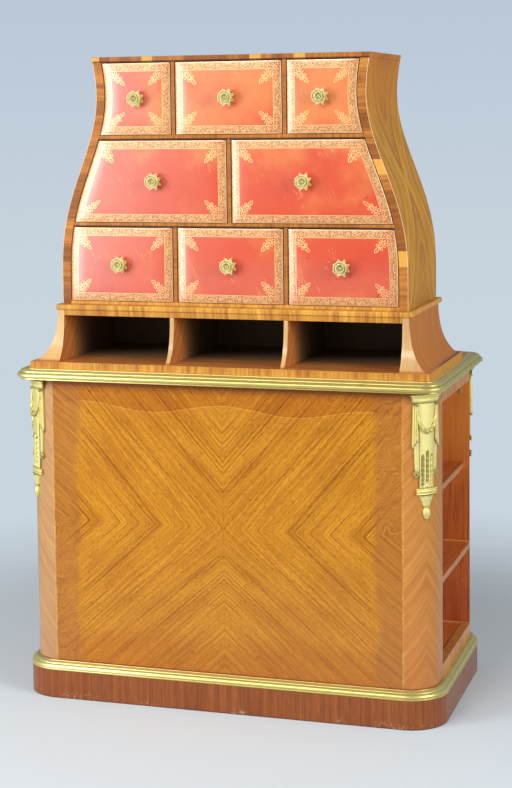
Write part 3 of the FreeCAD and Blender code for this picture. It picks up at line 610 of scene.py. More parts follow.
@lacquered("herringbone_veneer", 0.30, 0.30)
def post_veneer(wood):
    """Corner posts: herringbone that meets on the corner's middle line."""
    paints, x, z = wood.paints, wood.x, wood.z
    spread = abs((abs(x) - CORNER_X) - (abs(wood.y) - CORNER_Y)) * math.sqrt(0.5)
    turn, rise = math.cos(HERRINGBONE_LEAN), math.sin(HERRINGBONE_LEAN)
    leaning = wood.point(spread * turn - z * rise, z * turn + spread * rise)
    base, height = wood_colour(wood, leaning, paints.post, paints.post_dark, 95.0)
    base = wood.mix(z.fade(0.30, 0.09) * 0.30, base, paints.post_foot)
    # Painted sheen on the left posts, and painted shade on the right ones
    base = wood.mix(x.fade(-0.2, -0.4) * 0.4, base, paints.post_bleached)
    base = wood.mix(x.fade(0.2, 0.4) * 0.34, base, paints.plinth)
    return with_inside(wood, painted_shade_by_brass_lines(wood, seam_line(wood, base))), height


@lacquered("plinth_veneer", 0.34, 0.22)
def plinth_veneer(wood):
    """Plinth: upright grain, scuffed along its foot, with a painted shadow line where it meets the floor."""
    paints, x, y, z = wood.paints, wood.x, wood.y, wood.z
    upright = wood.point(z, abs(x) - abs(y))
    base, height = wood_colour(wood, upright, paints.plinth, paints.plinth_dark, 80.0)
    patches = wood.noise(wood.point(x, y), 7.0, 2.0).fade(0.48, 0.62)
    scuff = wood.noise(wood.spot, 240.0, 2.0).fade(0.56, 0.64) * z.fade(0.022, 0.004)
    base = wood.mix(scuff * patches * 0.7, base, paints.plinth_scuff)
    # Painted shadow: dark line where the plinth meets the floor
    return wood.mix(z.fade(3.0 * MM, 1.0 * MM) * 0.9, base, paints.plinth_foot_shadow), height


@lacquered("open_end_mahogany", 0.32, 0.12)
def open_end_wood(wood):
    """Partition between the open ends."""
    return inside_wood(wood)


@lacquered("end_rail_veneer", 0.34, 0.30)
def end_rail_wood(wood):
    """Rails of the open ends: pale veneer with upright grain."""
    upright = wood.point(wood.z, wood.y, wood.x)
    return wood_colour(wood, upright, wood.paints.post, wood.paints.plinth, 90.0)


@lacquered("shelf_mahogany", 0.32)
def shelf_wood(wood):
    """Shelves and floor: grain from front to back, paler and glossier on the edge."""
    paints, x, y, z = wood.paints, wood.x, wood.y, wood.z
    base, height = wood_colour(wood, wood.point(y, x, z), paints.mahogany, paints.mahogany_dark, 55.0)
    edge = wood_colour(wood, wood.point(y, z, x), paints.post, paints.plinth, 120.0)[0]
    end = abs(wood.out("x")).fade(0.5, 0.8)
    return wood.mix(end * 0.75, base, edge), height, end * 0.35 + 0.10


def leaf_blocks(wood, base, cell):
    """Banding cut from different leaves: one block pale, another dark."""
    block = wood.chance(cell.math("FLOOR"))
    base = wood.mix(block.fade(0.80, 0.84) * 0.65, base, wood.paints.banding)
    return wood.mix(block.fade(0.34, 0.30) * 0.5, base, wood.paints.plinth_dark)


def edge_banding(wood, light, dark):
    """Cross-banding of a board's front and end edges, golden on the ends."""
    front, height = cross_banding(wood, wood.x, wood.z + wood.y, light, dark)
    side = cross_banding(wood, wood.y, wood.z + wood.x, light, dark)[0]
    side = wood.mix(0.45, side, wood.paints.banding_end)
    return wood.mix(abs(wood.out("x")).fade(0.6, 0.8), front, side), height


@lacquered("level_banding", 0.34, 0.12)
def level_banding(wood):
    """Boards with cross-banded edges: the streaks lie across whichever edge is seen."""
    return edge_banding(wood, wood.paints.banding, wood.paints.banding_dark)


def shadow_over_rows(wood, base):
    """Rail with painted shadow on its lower lip over each row of drawers."""
    for top in ROW_TOPS:
        lip = wood.z.near(top + 2.0 * MM, 5.0 * MM, 0.8 * MM)
        base = wood.mix(lip * 0.8, base, wood.paints.gap_shadow)
    return base


@lacquered("rail_banding", 0.34, 0.12)
def rail_banding(wood):
    """Rails of the drawer case, browner than the ledge, with painted shadow over each row of drawers."""
    base, height = edge_banding(wood, wood.paints.rail, wood.paints.rail_dark)
    return shadow_over_rows(wood, base), height


@lacquered("pigeonhole_uprights", 0.36)
def niche_veneer(wood):
    """Uprights of the pigeonholes: pale front edges, and sides with painted shade that deepens with depth."""
    paints, x, y, z = wood.paints, wood.x, wood.y, wood.z
    slant = wood.point(z + y * 0.8, y - z * 0.8)
    inside, height = wood_colour(wood, slant, paints.post, paints.mahogany_dark, 60.0)
    # Painted shade deepening towards the back
    inside = wood.mix(y.fade(-0.170, -0.050) * 0.95, inside, paints.shade)
    leaning = wood.point(z + y * 0.5, y - z * 0.5)
    outside = wood_colour(wood, leaning, paints.veneer, paints.post_dark, 34.0)[0]
    outside = wood.mix(0.5, outside, paints.upright)
    edge = wood_colour(wood, wood.point(z - y, x), paints.banding, paints.rail_dark, 150.0)[0]
    edge = wood.mix(0.35, edge, paints.upright_edge)
    outer = (wood.out("x") * x.math("SIGN")).fade(0.05, 0.3) * abs(x).fade(0.409, 0.413)
    base = wood.mix(outer.most(wood.out("y").fade(0.4, 0.6)), inside, outside)
    front = wood.front().fade(0.45, 0.75) * abs(wood.out("x")).fade(0.6, 0.4)
    return wood.mix(front, base, edge), height, front * 0.5


@lacquered("pigeonhole_boards", 0.34, 0.12)
def niche_inside(wood):
    """Floor and roof of the pigeonholes: banded edges, and boards with painted shade that deepens with depth.
    """
    paints = wood.paints
    board, height = wood_colour(wood, wood.spot, paints.post, paints.mahogany_dark, 50.0)
    deep = wood.y.fade(-0.215, -0.040) * abs(wood.x).fade(0.412, 0.406)
    # Painted shade deepening towards the back
    board = wood.mix(deep * 0.95, board, paints.shade)
    edge = edge_banding(wood, paints.banding, paints.banding_dark)[0]
    edge = wood.mix(0.22, edge, paints.rail_dark)
    return wood.mix(abs(wood.out("z")).fade(0.5, 0.8), edge, board), height


@lacquered("stained_back", 0.45, 0.10)
def shaded_back_wood(wood):
    """Backs of the pigeonholes and the case: painted deep shade inside, plain veneer behind."""
    level = wood.point(wood.x, wood.z, wood.y)
    base, height = wood_colour(wood, level, wood.paints.case, wood.paints.case_dark, 55.0)
    return wood.mix(wood.out("y").fade(0.4, -0.4), base, wood.paints.shade), height


def from_case_side(wood):
    """Distance in from the case's S-curved side."""
    foot = wood.z - CASE_LOW.z
    flare = (foot - WAIST_HEIGHT).most(0.0) / WAIST_DROP
    rise = ((foot - BELLY_HEIGHT) / (WAIST_HEIGHT - BELLY_HEIGHT)).most(0.0).least(1.0)
    bend = (rise.math("POWER", CASE_SKEW) * math.pi).math("COSINE") * 0.5 + 0.5
    half = bend * (CASE_BELLY - CASE_WAIST) + CASE_WAIST + flare * flare * (CASE_HEAD - CASE_WAIST)
    return half - abs(wood.x)


def case_side(wood):
    """Colour and height of the quartered veneer on the case's sides."""
    middle = (CASE_LOW + CASE_HIGH) / 2
    vector = wood.point(*quartered(wood.y - middle.y, wood.z - middle.z, CASE_LEAN))
    base, height = wood_colour(wood, vector, wood.paints.case, wood.paints.case_dark, 34.0)
    return wood.mix(wood.z.fade(1.30, 1.42) * 0.35, base, wood.paints.case_head), height


@lacquered("case_side_veneer", 0.40)
def case_veneer(wood):
    """Case sides: quartered veneer outside, cross-banding and a pale line on the front edge."""
    paints, x, z = wood.paints, wood.x, wood.z
    side, height = case_side(wood)
    edge = cross_banding(wood, z, x, paints.rail, paints.rail_dark)[0]
    edge = leaf_blocks(wood, edge, z / SIDE_LEAF + x.math("SIGN") * 7.0)
    edge = wood.mix(from_case_side(wood).fade(2.0 * MM, 1.2 * MM) * 0.7, edge, paints.case_line)
    return wood.mix(wood.front().fade(0.5, 0.8), side, edge), height


@lacquered("case_top_veneer", 0.40)
def case_top_veneer(wood):
    """Top of the case: banded front edge, and ends that carry on the sides' veneer."""
    front, height = edge_banding(wood, wood.paints.rail, wood.paints.rail_dark)
    blocks = leaf_blocks(wood, wood.mix(0.3, front, wood.paints.plinth), wood.x / TOP_LEAF)
    # Painted shadow along the lower lip over the upper row of drawers
    front = shadow_over_rows(wood, wood.mix(wood.out("z").fade(0.6, 0.4), front, blocks))
    return wood.mix(abs(wood.out("x")).fade(0.5, 0.7), front, case_side(wood)[0]), height


@lacquered("divider_banding", 0.32, 0.15)
def divider_banding(wood):
    """Dividers between drawers: streaks across a narrow upright edge."""
    base, height = cross_banding(wood, wood.z, wood.x, wood.paints.rail, wood.paints.rail_dark)
    return wood.mix(0.35, base, wood.paints.plinth), height


@lacquered("drawer_oak", 0.5, 0.05)
def drawer_wood(wood):
    """Boards of the drawers, with their grain from front to back."""
    level = wood.point(wood.y, wood.z, wood.x)
    return wood_colour(wood, level, wood.paints.oak, wood.paints.oak_dark, 60.0)


@once
def patina_group():
    """Shade and roughness of gold that is rubbed bright where it stands out and dark where it is hollow."""
    patina = Effect("gold_patina", ["Vector"], ["Hollow"], ["Shade", "Roughness", "Height"])
    vector, hollow = patina.given["Vector"], patina.given["Hollow"]
    cloud = patina.noise(vector, 35.0, 4.0)
    grit = patina.noise(vector, 420.0, 2.0)
    shade = hollow.fade(0.50, 0.74) * 0.85 + cloud.fade(0.50, 0.8) * 0.24
    roughness = cloud * 0.22 + hollow.fade(0.45, 0.8) * 0.25 + 0.16
    return patina.result(shade=shade.least(1.0), roughness=roughness, height=cloud + grit * 0.15)


@once
def gilt_bronze(name, satin, pitting, dark, pale, right_shade):
    """Gilt bronze, by how matt and pitted it is, how dark its hollows are, how pale it is, and how much
    painted shade darkens it to the right of the front."""
    metal = Finish(name)
    paints = metal.paints
    worn = metal.group(patina_group(), hollow=metal.attribute("hollow"), vector=metal.spot)
    base = metal.mix(worn["Shade"] * dark, paints.gold, paints.gold_shade)
    base = metal.mix(pale, base, paints.gold_pale)
    # Painted shade over the front faces to the right
    painted_right_shade = metal.x.fade(-0.40, 0.0) * metal.front().fade(0.2, 0.6) * right_shade
    metal.surface({
        "Base Color": metal.mix(painted_right_shade, base, paints.gold_painted_shade, "MULTIPLY"),
        "Roughness": worn["Roughness"] + satin * 0.3,
        "Normal": metal.bump(worn["Height"], 0.6 * MM, pitting),
        "Metallic": 1.0 - 0.4 * satin,
    })
    return metal.material


@once
def tooling_group():
    """Masks of the gilt tooling and of the border's ground, by the distances in mm to the two nearest
    edges."""
    tools = Effect("gilt_tooling", [], ["Across", "Along", "Border"], ["Gilt", "Ground"])
    across, along, border = tools.given["Across"], tools.given["Along"], tools.given["Border"]
    deep, run = across.least(along), across.most(along)

    def ring(x, y, centre_x, centre_y, radius, line):
        return tools.apart(x - centre_x, y - centre_y).near(radius, line, 0.22)

    def dot(x, y, centre_x, centre_y, radius):
        return tools.apart(x - centre_x, y - centre_y).fade(radius + 0.3, radius - 0.3)

    # Rows of scrolls along a wavy stem, one in each cell and flipped in turn
    scroll, fine, rows, margin = 6.6, 1.35, 4.0, 2.0
    pitch = (border - 2 * margin) / rows
    level = (deep - margin) / pitch
    row = level.math("FLOOR")
    turn = run * fine / scroll + row * 0.5
    flip = (turn.math("FLOOR") + row).math("FLOORED_MODULO", 2.0) * 2.0 - 1.0
    step = (turn.math("FRACT") - 0.5) * scroll
    rise = (level.math("FRACT") - 0.5) * pitch * fine
    lift = rise * flip
    mirrored = abs(step)
    stem = (turn * math.pi).math("SINE") * -1.5
    pattern = (rise - stem).near(0.0, 0.8, 0.25).most(
        ring(step, lift, 0.5, 0.2, 1.6, 1.0),
        dot(step, lift, 0.7, 0.2, 0.6),
        ring(mirrored, lift, 2.7, 1.9, 0.9, 0.8),
        dot(mirrored, lift, 3.1, -0.6, 0.8),
        dot(step, lift, -1.3, -2.3, 0.9),
    )
    half_cell = (turn * 2.0).math("FLOOR") + (level * 2.0).math("FLOOR") * 57.0
    pattern = pattern.most(0.3) * (tools.chance(half_cell).fade(0.15, 0.75) * 0.8 + 0.2)
    pattern = pattern * deep.fade(2.4, 3.2) * deep.fade(border - 1.6, border - 2.4)
    pattern = pattern.most(deep.near(1.9, 1.1, 0.25), deep.near(border - 0.9, 1.2, 0.25))

    # Spray that points inwards from each corner: a leaf at its tip, a diamond, rings and dots
    size = math.sqrt(0.5) * 0.80
    leaf_middle, leaf_half, leaf_wide, diamond = 26.0, 6.5, 2.9, 12.0
    out = ((across - border) + (along - border)) * size - 3.0
    off = abs(across - along) * size
    tip = abs(out - leaf_middle)
    leaf = off - (tip / leaf_half * (tip / leaf_half) * -leaf_wide + leaf_wide)
    spray = (leaf.near(0.0, 1.3, 0.25) * tip.fade(leaf_half + 0.8, leaf_half + 0.2)).most(
        (abs(out - diamond) * 0.62 + off).near(5.0, 1.3, 0.25),
        ring(out, off, 5.4, 5.6, 2.4, 1.2),
        ring(out, off, diamond, 0.0, 2.0, 1.1),
        ring(out, off, 18.6, 4.6, 2.2, 1.2),
        dot(out, off, 11.5, 7.4, 1.1),
        dot(out, off, 2.0, 0.0, 1.4),
        dot(out, off, leaf_middle, 0.0, 1.0),
    )
    spray = spray * deep.fade(border - 0.2, border + 0.2)
    return tools.result(gilt=pattern.most(spray), ground=deep.fade(border, border - 1.0))


@once
def red_leather():
    """Glazed red leather with faded clouds, painted sheen to the left and a pale wash low down, specks,
    painted shadow round its rim and worn gilt tooling.
    """
    hide = Finish("tooled_red_leather")
    paints, x, y, z, spot = hide.paints, hide.x, hide.y, hide.z, hide.spot
    edges = hide.parts(hide.node("ShaderNodeUVMap", uv_map="tooling").outputs[0])
    across, along = edges[0] / MM, edges[1] / MM
    tooling = hide.group(tooling_group(), across=across, along=along, border=sizes().border / MM)
    wear = hide.noise(spot, 160.0, 3.0).fade(0.22, 0.42)
    # Painted shadow round the leather's rim, where it meets the frame
    rim_shadow = across.least(along).fade(1.5, 0.7)
    gilt = tooling["Gilt"] * (wear * 0.55 + 0.45) * (rim_shadow * -1.0 + 1.0)
    clouds = hide.noise(spot, 7.0, 4.0)
    faded = clouds * 0.8 + z.fade(1.10, 1.40) * x.fade(-0.34, 0.10) * 0.20 + 0.08
    base = hide.mix(faded.fade(0.48, 0.78), paints.leather, paints.leather_faded)
    base = hide.mix(clouds.fade(0.46, 0.28) * 0.6, base, paints.leather_deep)
    # Painted sheen: paler grey to the left, and a pale grey wash on the lowest row
    sheen_and_low_wash = x.fade(0.05, -0.32).most(z.fade(1.06, 0.98) * 0.8)
    base = hide.mix(sheen_and_low_wash * 0.12, base, paints.leather_sheen_and_wash)
    rubbed = hide.streaks(x * 60.0 + z * 34.0, z * 10.0 - x * 6.0, y, 3.0)
    rubbed = abs(rubbed - 0.5).fade(0.014, 0.0) * hide.noise(spot, 16.0, 2.0).fade(0.56, 0.66)
    base = hide.mix(rubbed * 0.35, base, paints.gilding)
    pebble = hide.noise(spot, 700.0, 2.0)
    base = hide.mix(pebble.fade(0.55, 0.85) * 0.25, base, paints.leather_deep)
    specks = hide.noise(spot, 85.0, 1.0).fade(0.78, 0.82)
    base = hide.mix(specks * 0.6, base, paints.leather_speck)
    base = hide.mix(tooling["Ground"] * 0.7, base, paints.mahogany_dark)
    base = hide.mix(gilt, base, paints.gilding)
    hide.surface({
        "Base Color": hide.mix(rim_shadow * 0.9, base, paints.gap_shadow),
        "Metallic": gilt * 0.55,
        "Roughness": clouds * 0.12 + gilt * 0.05 + 0.34,
        "Normal": hide.bump(pebble * 0.35 - gilt, 0.3 * MM, 0.5),
        "Coat Weight": 1.0,
        "Coat Roughness": 0.25,
        "Coat IOR": 1.70,
    })
    return hide.material


# Modelling

def new_piece(name, work, material, sharp=math.radians(40)):
    """Object from a bmesh, smooth but for its sharp edges."""
    mesh = bpy.data.meshes.new(name)
    work.to_mesh(mesh)
    work.free()
    mesh.shade_smooth()
    mesh.set_sharp_from_angle(angle=sharp)
    mesh.materials.append(material)
    piece = bpy.data.objects.new(name, mesh)
    bpy.context.scene.collection.objects.link(piece)
    return piece


def stand_for(piece, *nodes):
    """Makes a piece ride with the body of CAD nodes and stand in their place."""
    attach(piece, frame["nodes"][nodes[0]]["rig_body"])
    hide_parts(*nodes)


def paint_node(node, material):
    """Gives a CAD node a better finish."""
    mesh = frame["nodes"][node].data
    mesh.materials.clear()
    mesh.materials.append(material)


def eased_board(node, material):
    """Copy of a CAD board with its faces joined and its arrises eased."""
    work = bmesh.new()
    work.from_mesh(frame["nodes"][node].data)
    bmesh.ops.remove_doubles(work, verts=work.verts, dist=0.001 * MM)
    bmesh.ops.dissolve_limit(work, angle_limit=math.radians(0.4), verts=work.verts, edges=work.edges)
    arrises = [edge for edge in work.edges if edge.is_manifold and edge.calc_face_angle() > math.radians(35)]
    bmesh.ops.bevel(
        work, geom=arrises, offset=sizes().arris, offset_type="OFFSET", segments=2, profile=0.5,
        affect="EDGES", material=-1, clamp_overlap=True,
    )
    piece = new_piece(f"{node}_finish", work, material)
    piece.modifiers.new("even_normals", "WEIGHTED_NORMAL").keep_sharp = True
    stand_for(piece, node)


def of_kind(kind, geometry):
    return [item for item in geometry if isinstance(item, kind)]


def joined_to(verts, links):
    """Edges or faces that some points belong to, each one time and in a fixed order."""
    return list(dict.fromkeys(item for vert in verts for item in getattr(vert, links)))


def mix(first, second, share):
    return first + (second - first) * share


def swell(start, end, bulge, steps=8):
    """Points of a round stretch between two profile points, which stands out by a bulge."""
    (x0, y0), (x1, y1) = start, end
    run = math.hypot(x1 - x0, y1 - y0)
    normal = ((y1 - y0) / run, (x0 - x1) / run)
    points = []
    for index in range(steps + 1):
        turn = math.pi * index / steps
        share, rise = (1 - math.cos(turn)) / 2, bulge * math.sin(turn)
        points.append((mix(x0, x1, share) + normal[0] * rise, mix(y0, y1, share) + normal[1] * rise))
    return points


def ring_of(work, points):
    """Closed ring of edges through some points."""
    verts = [work.verts.new(point) for point in points]
    edges = [work.edges.new(pair) for pair in zip(verts, [*verts[1:], verts[0]])]
    return verts, edges


def run_on(work, edges, step=(0, 0, 0)):
    """Extrudes a ring of edges by a step and gives the new ring."""
    made = bmesh.ops.extrude_edge_only(work, edges=edges)["geom"]
    moved = of_kind(bmesh.types.BMVert, made)
    bmesh.ops.translate(work, verts=moved, vec=step)
    kept = set(moved)
    return moved, [edge for edge in of_kind(bmesh.types.BMEdge, made) if kept.issuperset(edge.verts)]


def close_behind(work, verts, back):
    """Carries the rim of a sheet back to a depth and closes it there."""
    rim = [edge for edge in joined_to(verts, "link_edges") if edge.is_boundary]
    moved, edges = run_on(work, rim)
    for vert in moved:
        vert.co.y = back
    bmesh.ops.contextual_create(work, geom=edges)


def around_body(profile, radius=CORNER_RADIUS, turns=20):
    """Profile of points out from the body and up, in mm, carried round the low cabinet."""
    work = bmesh.new()
    half_x, half_y = BODY_HALF - radius, BODY_DEEP - radius
    points = [(BODY_HALF + out * MM, -half_y, height * MM) for out, height in profile]
    verts, edges = ring_of(work, points)
    corners = (
        ((0, 2 * half_y, 0), (half_x, half_y, 0)),
        ((-2 * half_x, 0, 0), (-half_x, half_y, 0)),
        ((0, -2 * half_y, 0), (-half_x, -half_y, 0)),
        ((2 * half_x, 0, 0), (half_x, -half_y, 0)),
    )
    for step, axis in corners:
        verts, edges = run_on(work, edges, step)
        made = bmesh.ops.spin(
            work, geom=[*verts, *edges], cent=axis, axis=UP, dvec=(0, 0, 0), angle=math.pi / 2, steps=turns,
            use_merge=False, use_duplicate=False,
        )
        edges = of_kind(bmesh.types.BMEdge, made["geom_last"])
    bmesh.ops.remove_doubles(work, verts=work.verts, dist=0.01 * MM)
    bmesh.ops.recalc_face_normals(work, faces=work.faces)
    return work


def mark_hollows(work, passes=2, reach=1.0):
    """Writes how hollow the surface is at each point: half is flat, more is hollow, less stands out.

    Edges longer than a reach in metres don't count."""
    work.normal_update()
    layer = work.verts.layers.float.new("hollow")
    for vert in work.verts:
        near = [edge.other_vert(vert).co for edge in vert.link_edges if edge.calc_length() < reach]
        near = near or [vert.co]
        middle = sum(near, Vector()) / len(near)
        spread = sum((point - vert.co).length for point in near) / len(near)
        vert[layer] = min(1.0, max(0.0, 0.5 + (middle - vert.co).dot(vert.normal) / max(spread, 1e-6)))
    for turn in range(passes):
        soft = {}
        for vert in work.verts:
            near = [edge.other_vert(vert)[layer] for edge in vert.link_edges]
            soft[vert] = (vert[layer] + sum(near)) / (1 + len(near))
        for vert, value in soft.items():
            vert[layer] = value


def sheet(work, columns, rows, place):
    """Grid of points placed by a rule of two shares."""
    verts = bmesh.ops.create_grid(work, x_segments=columns, y_segments=rows, size=0.5)["verts"]
    for vert in verts:
        vert.co = place(vert.co.x + 0.5, vert.co.y + 0.5)
    return verts


def relief(work, columns, rows, place):
    """Closed relief: a sheet with its rim carried back behind the post's surface."""
    close_behind(work, sheet(work, columns, rows, place), -1.0 * MM)


def tube(work, sides, rings, place):
    """Closed round form: a cylinder placed by a rule of its angle and the share of its length."""
    made = bmesh.ops.create_circle(work, cap_ends=True, segments=sides, radius=1)["verts"]
    edges = joined_to(made, "link_edges")
    for index in range(rings):
        verts, edges = run_on(work, edges, (0, 0, 1 / rings))
        made.extend(verts)
    bmesh.ops.contextual_create(work, geom=edges)
    for vert in made:
        vert.co = place(math.atan2(vert.co.y, vert.co.x), vert.co.z)


def bar(work, profile, half, steps, splay):
    """Profile of points out and up, in mm, run straight across; a splay lengthens what stands further out."""
    points = [(-half * MM, out * MM, height * MM) for out, height in profile]
    verts, edges = ring_of(work, points)
    bmesh.ops.contextual_create(work, geom=edges)
    made = list(verts)
    for index in range(steps):
        verts, edges = run_on(work, edges, (2 * half * MM / steps, 0, 0))
        made.extend(verts)
    bmesh.ops.contextual_create(work, geom=edges)
    for vert in made:
        vert.co.x *= 1 + splay * vert.co.y / (half * MM)


def ball(work, place, radius, detail=2):
    bmesh.ops.create_icosphere(
        work, subdivisions=detail, radius=radius * MM, matrix=Matrix.Translation(Vector(place) * MM)
    )


def round_point(radius, angle, height, middle_x=0.0, middle_y=0.0):
    """Point on a circle about an upright axis, from mm."""
    return Vector((middle_x + radius * math.cos(angle), middle_y + radius * math.sin(angle), height)) * MM


def coil_point(middle, outward, reach, thick, angle):
    """Point on a round cord whose middle lies a reach outwards of a place, from mm."""
    point = middle + outward * (reach + thick * math.cos(angle))
    point.y += thick * math.sin(angle)
    return point * MM


def case_half_width(height):
    """Half the case's width at a height over the floor."""
    foot = height - CASE_LOW.z
    if foot > WAIST_HEIGHT:
        return mix(CASE_WAIST, CASE_HEAD, ((foot - WAIST_HEIGHT) / WAIST_DROP) ** 2)
    rise = max(0.0, (foot - BELLY_HEIGHT) / (WAIST_HEIGHT - BELLY_HEIGHT))
    return mix(CASE_BELLY, CASE_WAIST, (1 - math.cos(math.pi * rise ** CASE_SKEW)) / 2)


# Corner mounts, in mm: across the post, out from its face, and up

CAPITAL = 19.0
PLATE = 164.0
SHAFT = 190.0
COLLAR = 13.0
PENDANT = 27.0
PLATE_HALF = 32.0
PLATE_FOOT_HALF = 27.0
SHAFT_HALF = 17.5
FLUTES = (-10.5, 0.0, 10.5)
FLUTE_RADIUS = 3.6
FLUTE_DEPTH = 3.4
HUSKS = (3.0, 2.9, 2.7, 2.5, 2.3, 2.0)
SWAG_HALF = 23.0
SWAG_DROP = 62.0
TAIL_LENGTH = 100.0
TAIL_FOLDS = 3
TAIL_STEP = 7.0


def mount_plate(work, top, foot):
    """Thin plate with a raised rim."""
    def place(across, up):
        half = mix(PLATE_FOOT_HALF, PLATE_HALF, up)
        side = (across * 2 - 1) * half
        rim = max(0.0, 1 - (half - abs(side)) / 3.0)
        return Vector((side, 2.6 + rim, mix(foot, top, up))) * MM

    relief(work, 40, 16, place)


def mount_shaft(work, top, foot):
    """Raised middle of the plate, wider under the capital, with three hollow flutes in its lower half."""
    flute_top, flute_foot = foot + 72.0, foot + 4.0

    def place(across, up):
        height = mix(foot, top, up)
        half = SHAFT_HALF + 4.5 * max(0.0, (height - top) / 70.0 + 1) ** 1.5
        side = (across * 2 - 1) * half
        out = 4.2 + 1.8 * math.sqrt(max(0.0, 1 - (side / half) ** 4))
        for middle in FLUTES:
            reach = flute_top + (10.0 if middle == 0 else 0.0)
            ends = max(0.0, height - (reach - FLUTE_RADIUS), (flute_foot + FLUTE_RADIUS) - height)
            hollow = math.hypot(side - middle, ends)
            if hollow < FLUTE_RADIUS:
                out -= FLUTE_DEPTH * math.sqrt(1 - (hollow / FLUTE_RADIUS) ** 2)
        return Vector((side, out, height)) * MM

    relief(work, 56, 110, place)


def mount_swag(work, top):
    """Twisted festoon hung between the two upper corners, thin at its ends."""
    def place(angle, share):
        turn = (share - 0.5) * math.pi
        thick = (1.5 + 3.6 * math.cos(turn) ** 1.5) * (1 + 0.12 * math.cos(3 * angle + 14 * turn))
        side, height = SWAG_HALF * math.sin(turn), top - SWAG_DROP * math.cos(turn) ** 0.9
        inward = Vector((math.sin(turn), 0, -math.cos(turn)))
        return coil_point(Vector((side, 6.4 + 2.4 * math.cos(turn), height)), inward, 0.0, thick, angle)

    tube(work, 14, 64, place)


def mount_tail(work, top, side):
    """Hanging end of the drapery, with three folds and a stepped foot."""
    def place(across, up):
        step = math.floor(min(TAIL_FOLDS - 0.01, TAIL_FOLDS * (1 - across)))
        height = top - (1 - up) * (TAIL_LENGTH - TAIL_STEP * step)
        spread = 20.5 + across * (10.5 + 2.5 * (1 - up))
        out = 3.6 + 3.2 * abs(math.sin(math.pi * across * TAIL_FOLDS)) + 1.4 * (1 - up)
        return Vector((side * spread, out, height)) * MM

    relief(work, 30, 24, place)


def volute(work, side, middle, height):
    """Small scroll at a lower corner of the plate."""
    def place(angle, share):
        turn = share * 3.4 * math.pi
        reach = 5.6 * (1 - share) ** 0.8 + 0.7
        outward = Vector((side * math.cos(turn), 0, math.sin(turn)))
        eye = Vector((side * middle, 4.2 + 1.6 * share, height))
        return coil_point(eye, outward, reach, mix(2.2, 1.3, share), angle)

    tube(work, 10, 44, place)


def husk(work, side, height, size):
    """Bell-shaped bud with three lobes that hangs in a flute."""
    def place(angle, share):
        swelling = (0.25 + math.sin(math.pi * min(1.0, share * 1.15)) * 0.75) * (1 - 0.7 * share ** 6)
        radius = size * swelling * (1 + 0.22 * math.cos(3 * angle))
        return round_point(radius, angle, height - size * 4.2 * share, side, 4.0)

    tube(work, 9, 6, place)


def mount_drops(work, foot):
    """A pearl and a string of husks in each flute."""
    for middle in FLUTES:
        start = foot + (82.0 if middle == 0 else 74.0)
        ball(work, (middle, 6.4, start), 2.6)
        height = start - 3.0
        for size in HUSKS:
            husk(work, middle, height, size)
            height -= size * 4.3


def mount_pendant(work, top, foot):
    """Leafy bell under the collar, a ring and a ribbed bud."""
    def bell(across, up):
        turn = (across - 0.5) * math.pi
        rib = 1 + 0.15 * abs(math.cos(3.5 * turn)) * (0.35 + 0.65 * up)
        half = mix(8.0, 16.5, up ** 1.25) * rib
        deep = mix(6.5, 9.5, up) * rib
        return Vector((half * math.sin(turn), max(-0.5, deep * math.cos(turn)), mix(foot, top, up))) * MM

    def ring(angle, share):
        return round_point(6.0 + 2.2 * math.sin(math.pi * share), angle, foot + 2.5 - 5.0 * share, 0.0, 1.0)

    def bud(angle, share):
        rib = 1 + 0.07 * abs(math.cos(4 * angle + 2.0 * share))
        radius = 8.8 * math.sin(math.pi * min(0.985, 0.10 + share * 0.90)) ** 0.7 * rib
        return round_point(radius, angle, mix(foot - 1.5, MOUNT_LOW.z / MM, share), 0.0, 1.0)

    relief(work, 54, 16, bell)
    tube(work, 24, 6, ring)
    tube(work, 32, 16, bud)


def mount_shape():
    """One corner mount laid out flat."""
    work = bmesh.new()
    top = MOUNT_HIGH.z / MM
    plate_top = top - CAPITAL
    plate_foot = plate_top - PLATE
    collar_top = plate_top - SHAFT
    collar_foot = collar_top - COLLAR
    pendant_foot = collar_foot - PENDANT
    abacus = [(-1, top), (11.0, top), *swell((12.0, top - 1), (12.0, top - 4.5), 0.6, 4)]
    ovolo = swell((10.8, top - 5), (7.6, top - 11.5), 1.6)
    hollow = swell((6.6, top - 12), (4.6, plate_top), -1.0, 6)
    bar(work, [*abacus, *ovolo, *hollow, (-1, plate_top)], 31.0, 24, 0.5)
    mount_plate(work, plate_top, plate_foot)
    mount_shaft(work, plate_top, collar_top)
    mount_swag(work, plate_top - 1)
    for side in (-1, 1):
        mount_tail(work, plate_top - 1, side)
        ball(work, (side * 23.5, 6.5, plate_top - 4), 3.6)
        volute(work, side, PLATE_FOOT_HALF - 3, plate_foot + 5)
    mount_drops(work, collar_top)
    rounds = swell((8.6, collar_top - 1), (8.6, collar_top - 7), 2.2)
    lip = swell((7.4, collar_top - 8), (6.6, collar_foot), 1.0, 4)
    bar(work, [(-1, collar_top), (8.0, collar_top), *rounds, *lip, (-1, collar_foot)], 21.0, 16, 0.5)
    for index in range(-5, 6):
        ball(work, (index * 3.3, 8.0, collar_foot - 1.2), 1.7, 1)
    mount_pendant(work, collar_foot - 1.5, pendant_foot)
    return work


def wrap_on_post(work, side, end):
    """Bends a flat shape round one corner post."""
    middle = math.atan2(end, side)
    for vert in work.verts:
        angle = middle + vert.co.x / CORNER_RADIUS
        reach = CORNER_RADIUS + vert.co.y
        vert.co.x = side * CORNER_X + reach * math.cos(angle)
        vert.co.y = end * CORNER_Y + reach * math.sin(angle)


# Flower knobs, in mm: along the knob's axis from the leather's face

SHANK_LENGTH = 28.0
SHANK_RADIUS = 3.0
NUT_HEIGHT = 5.0
NUT_RADIUS = 7.0
PETAL_FOOT = 2.5

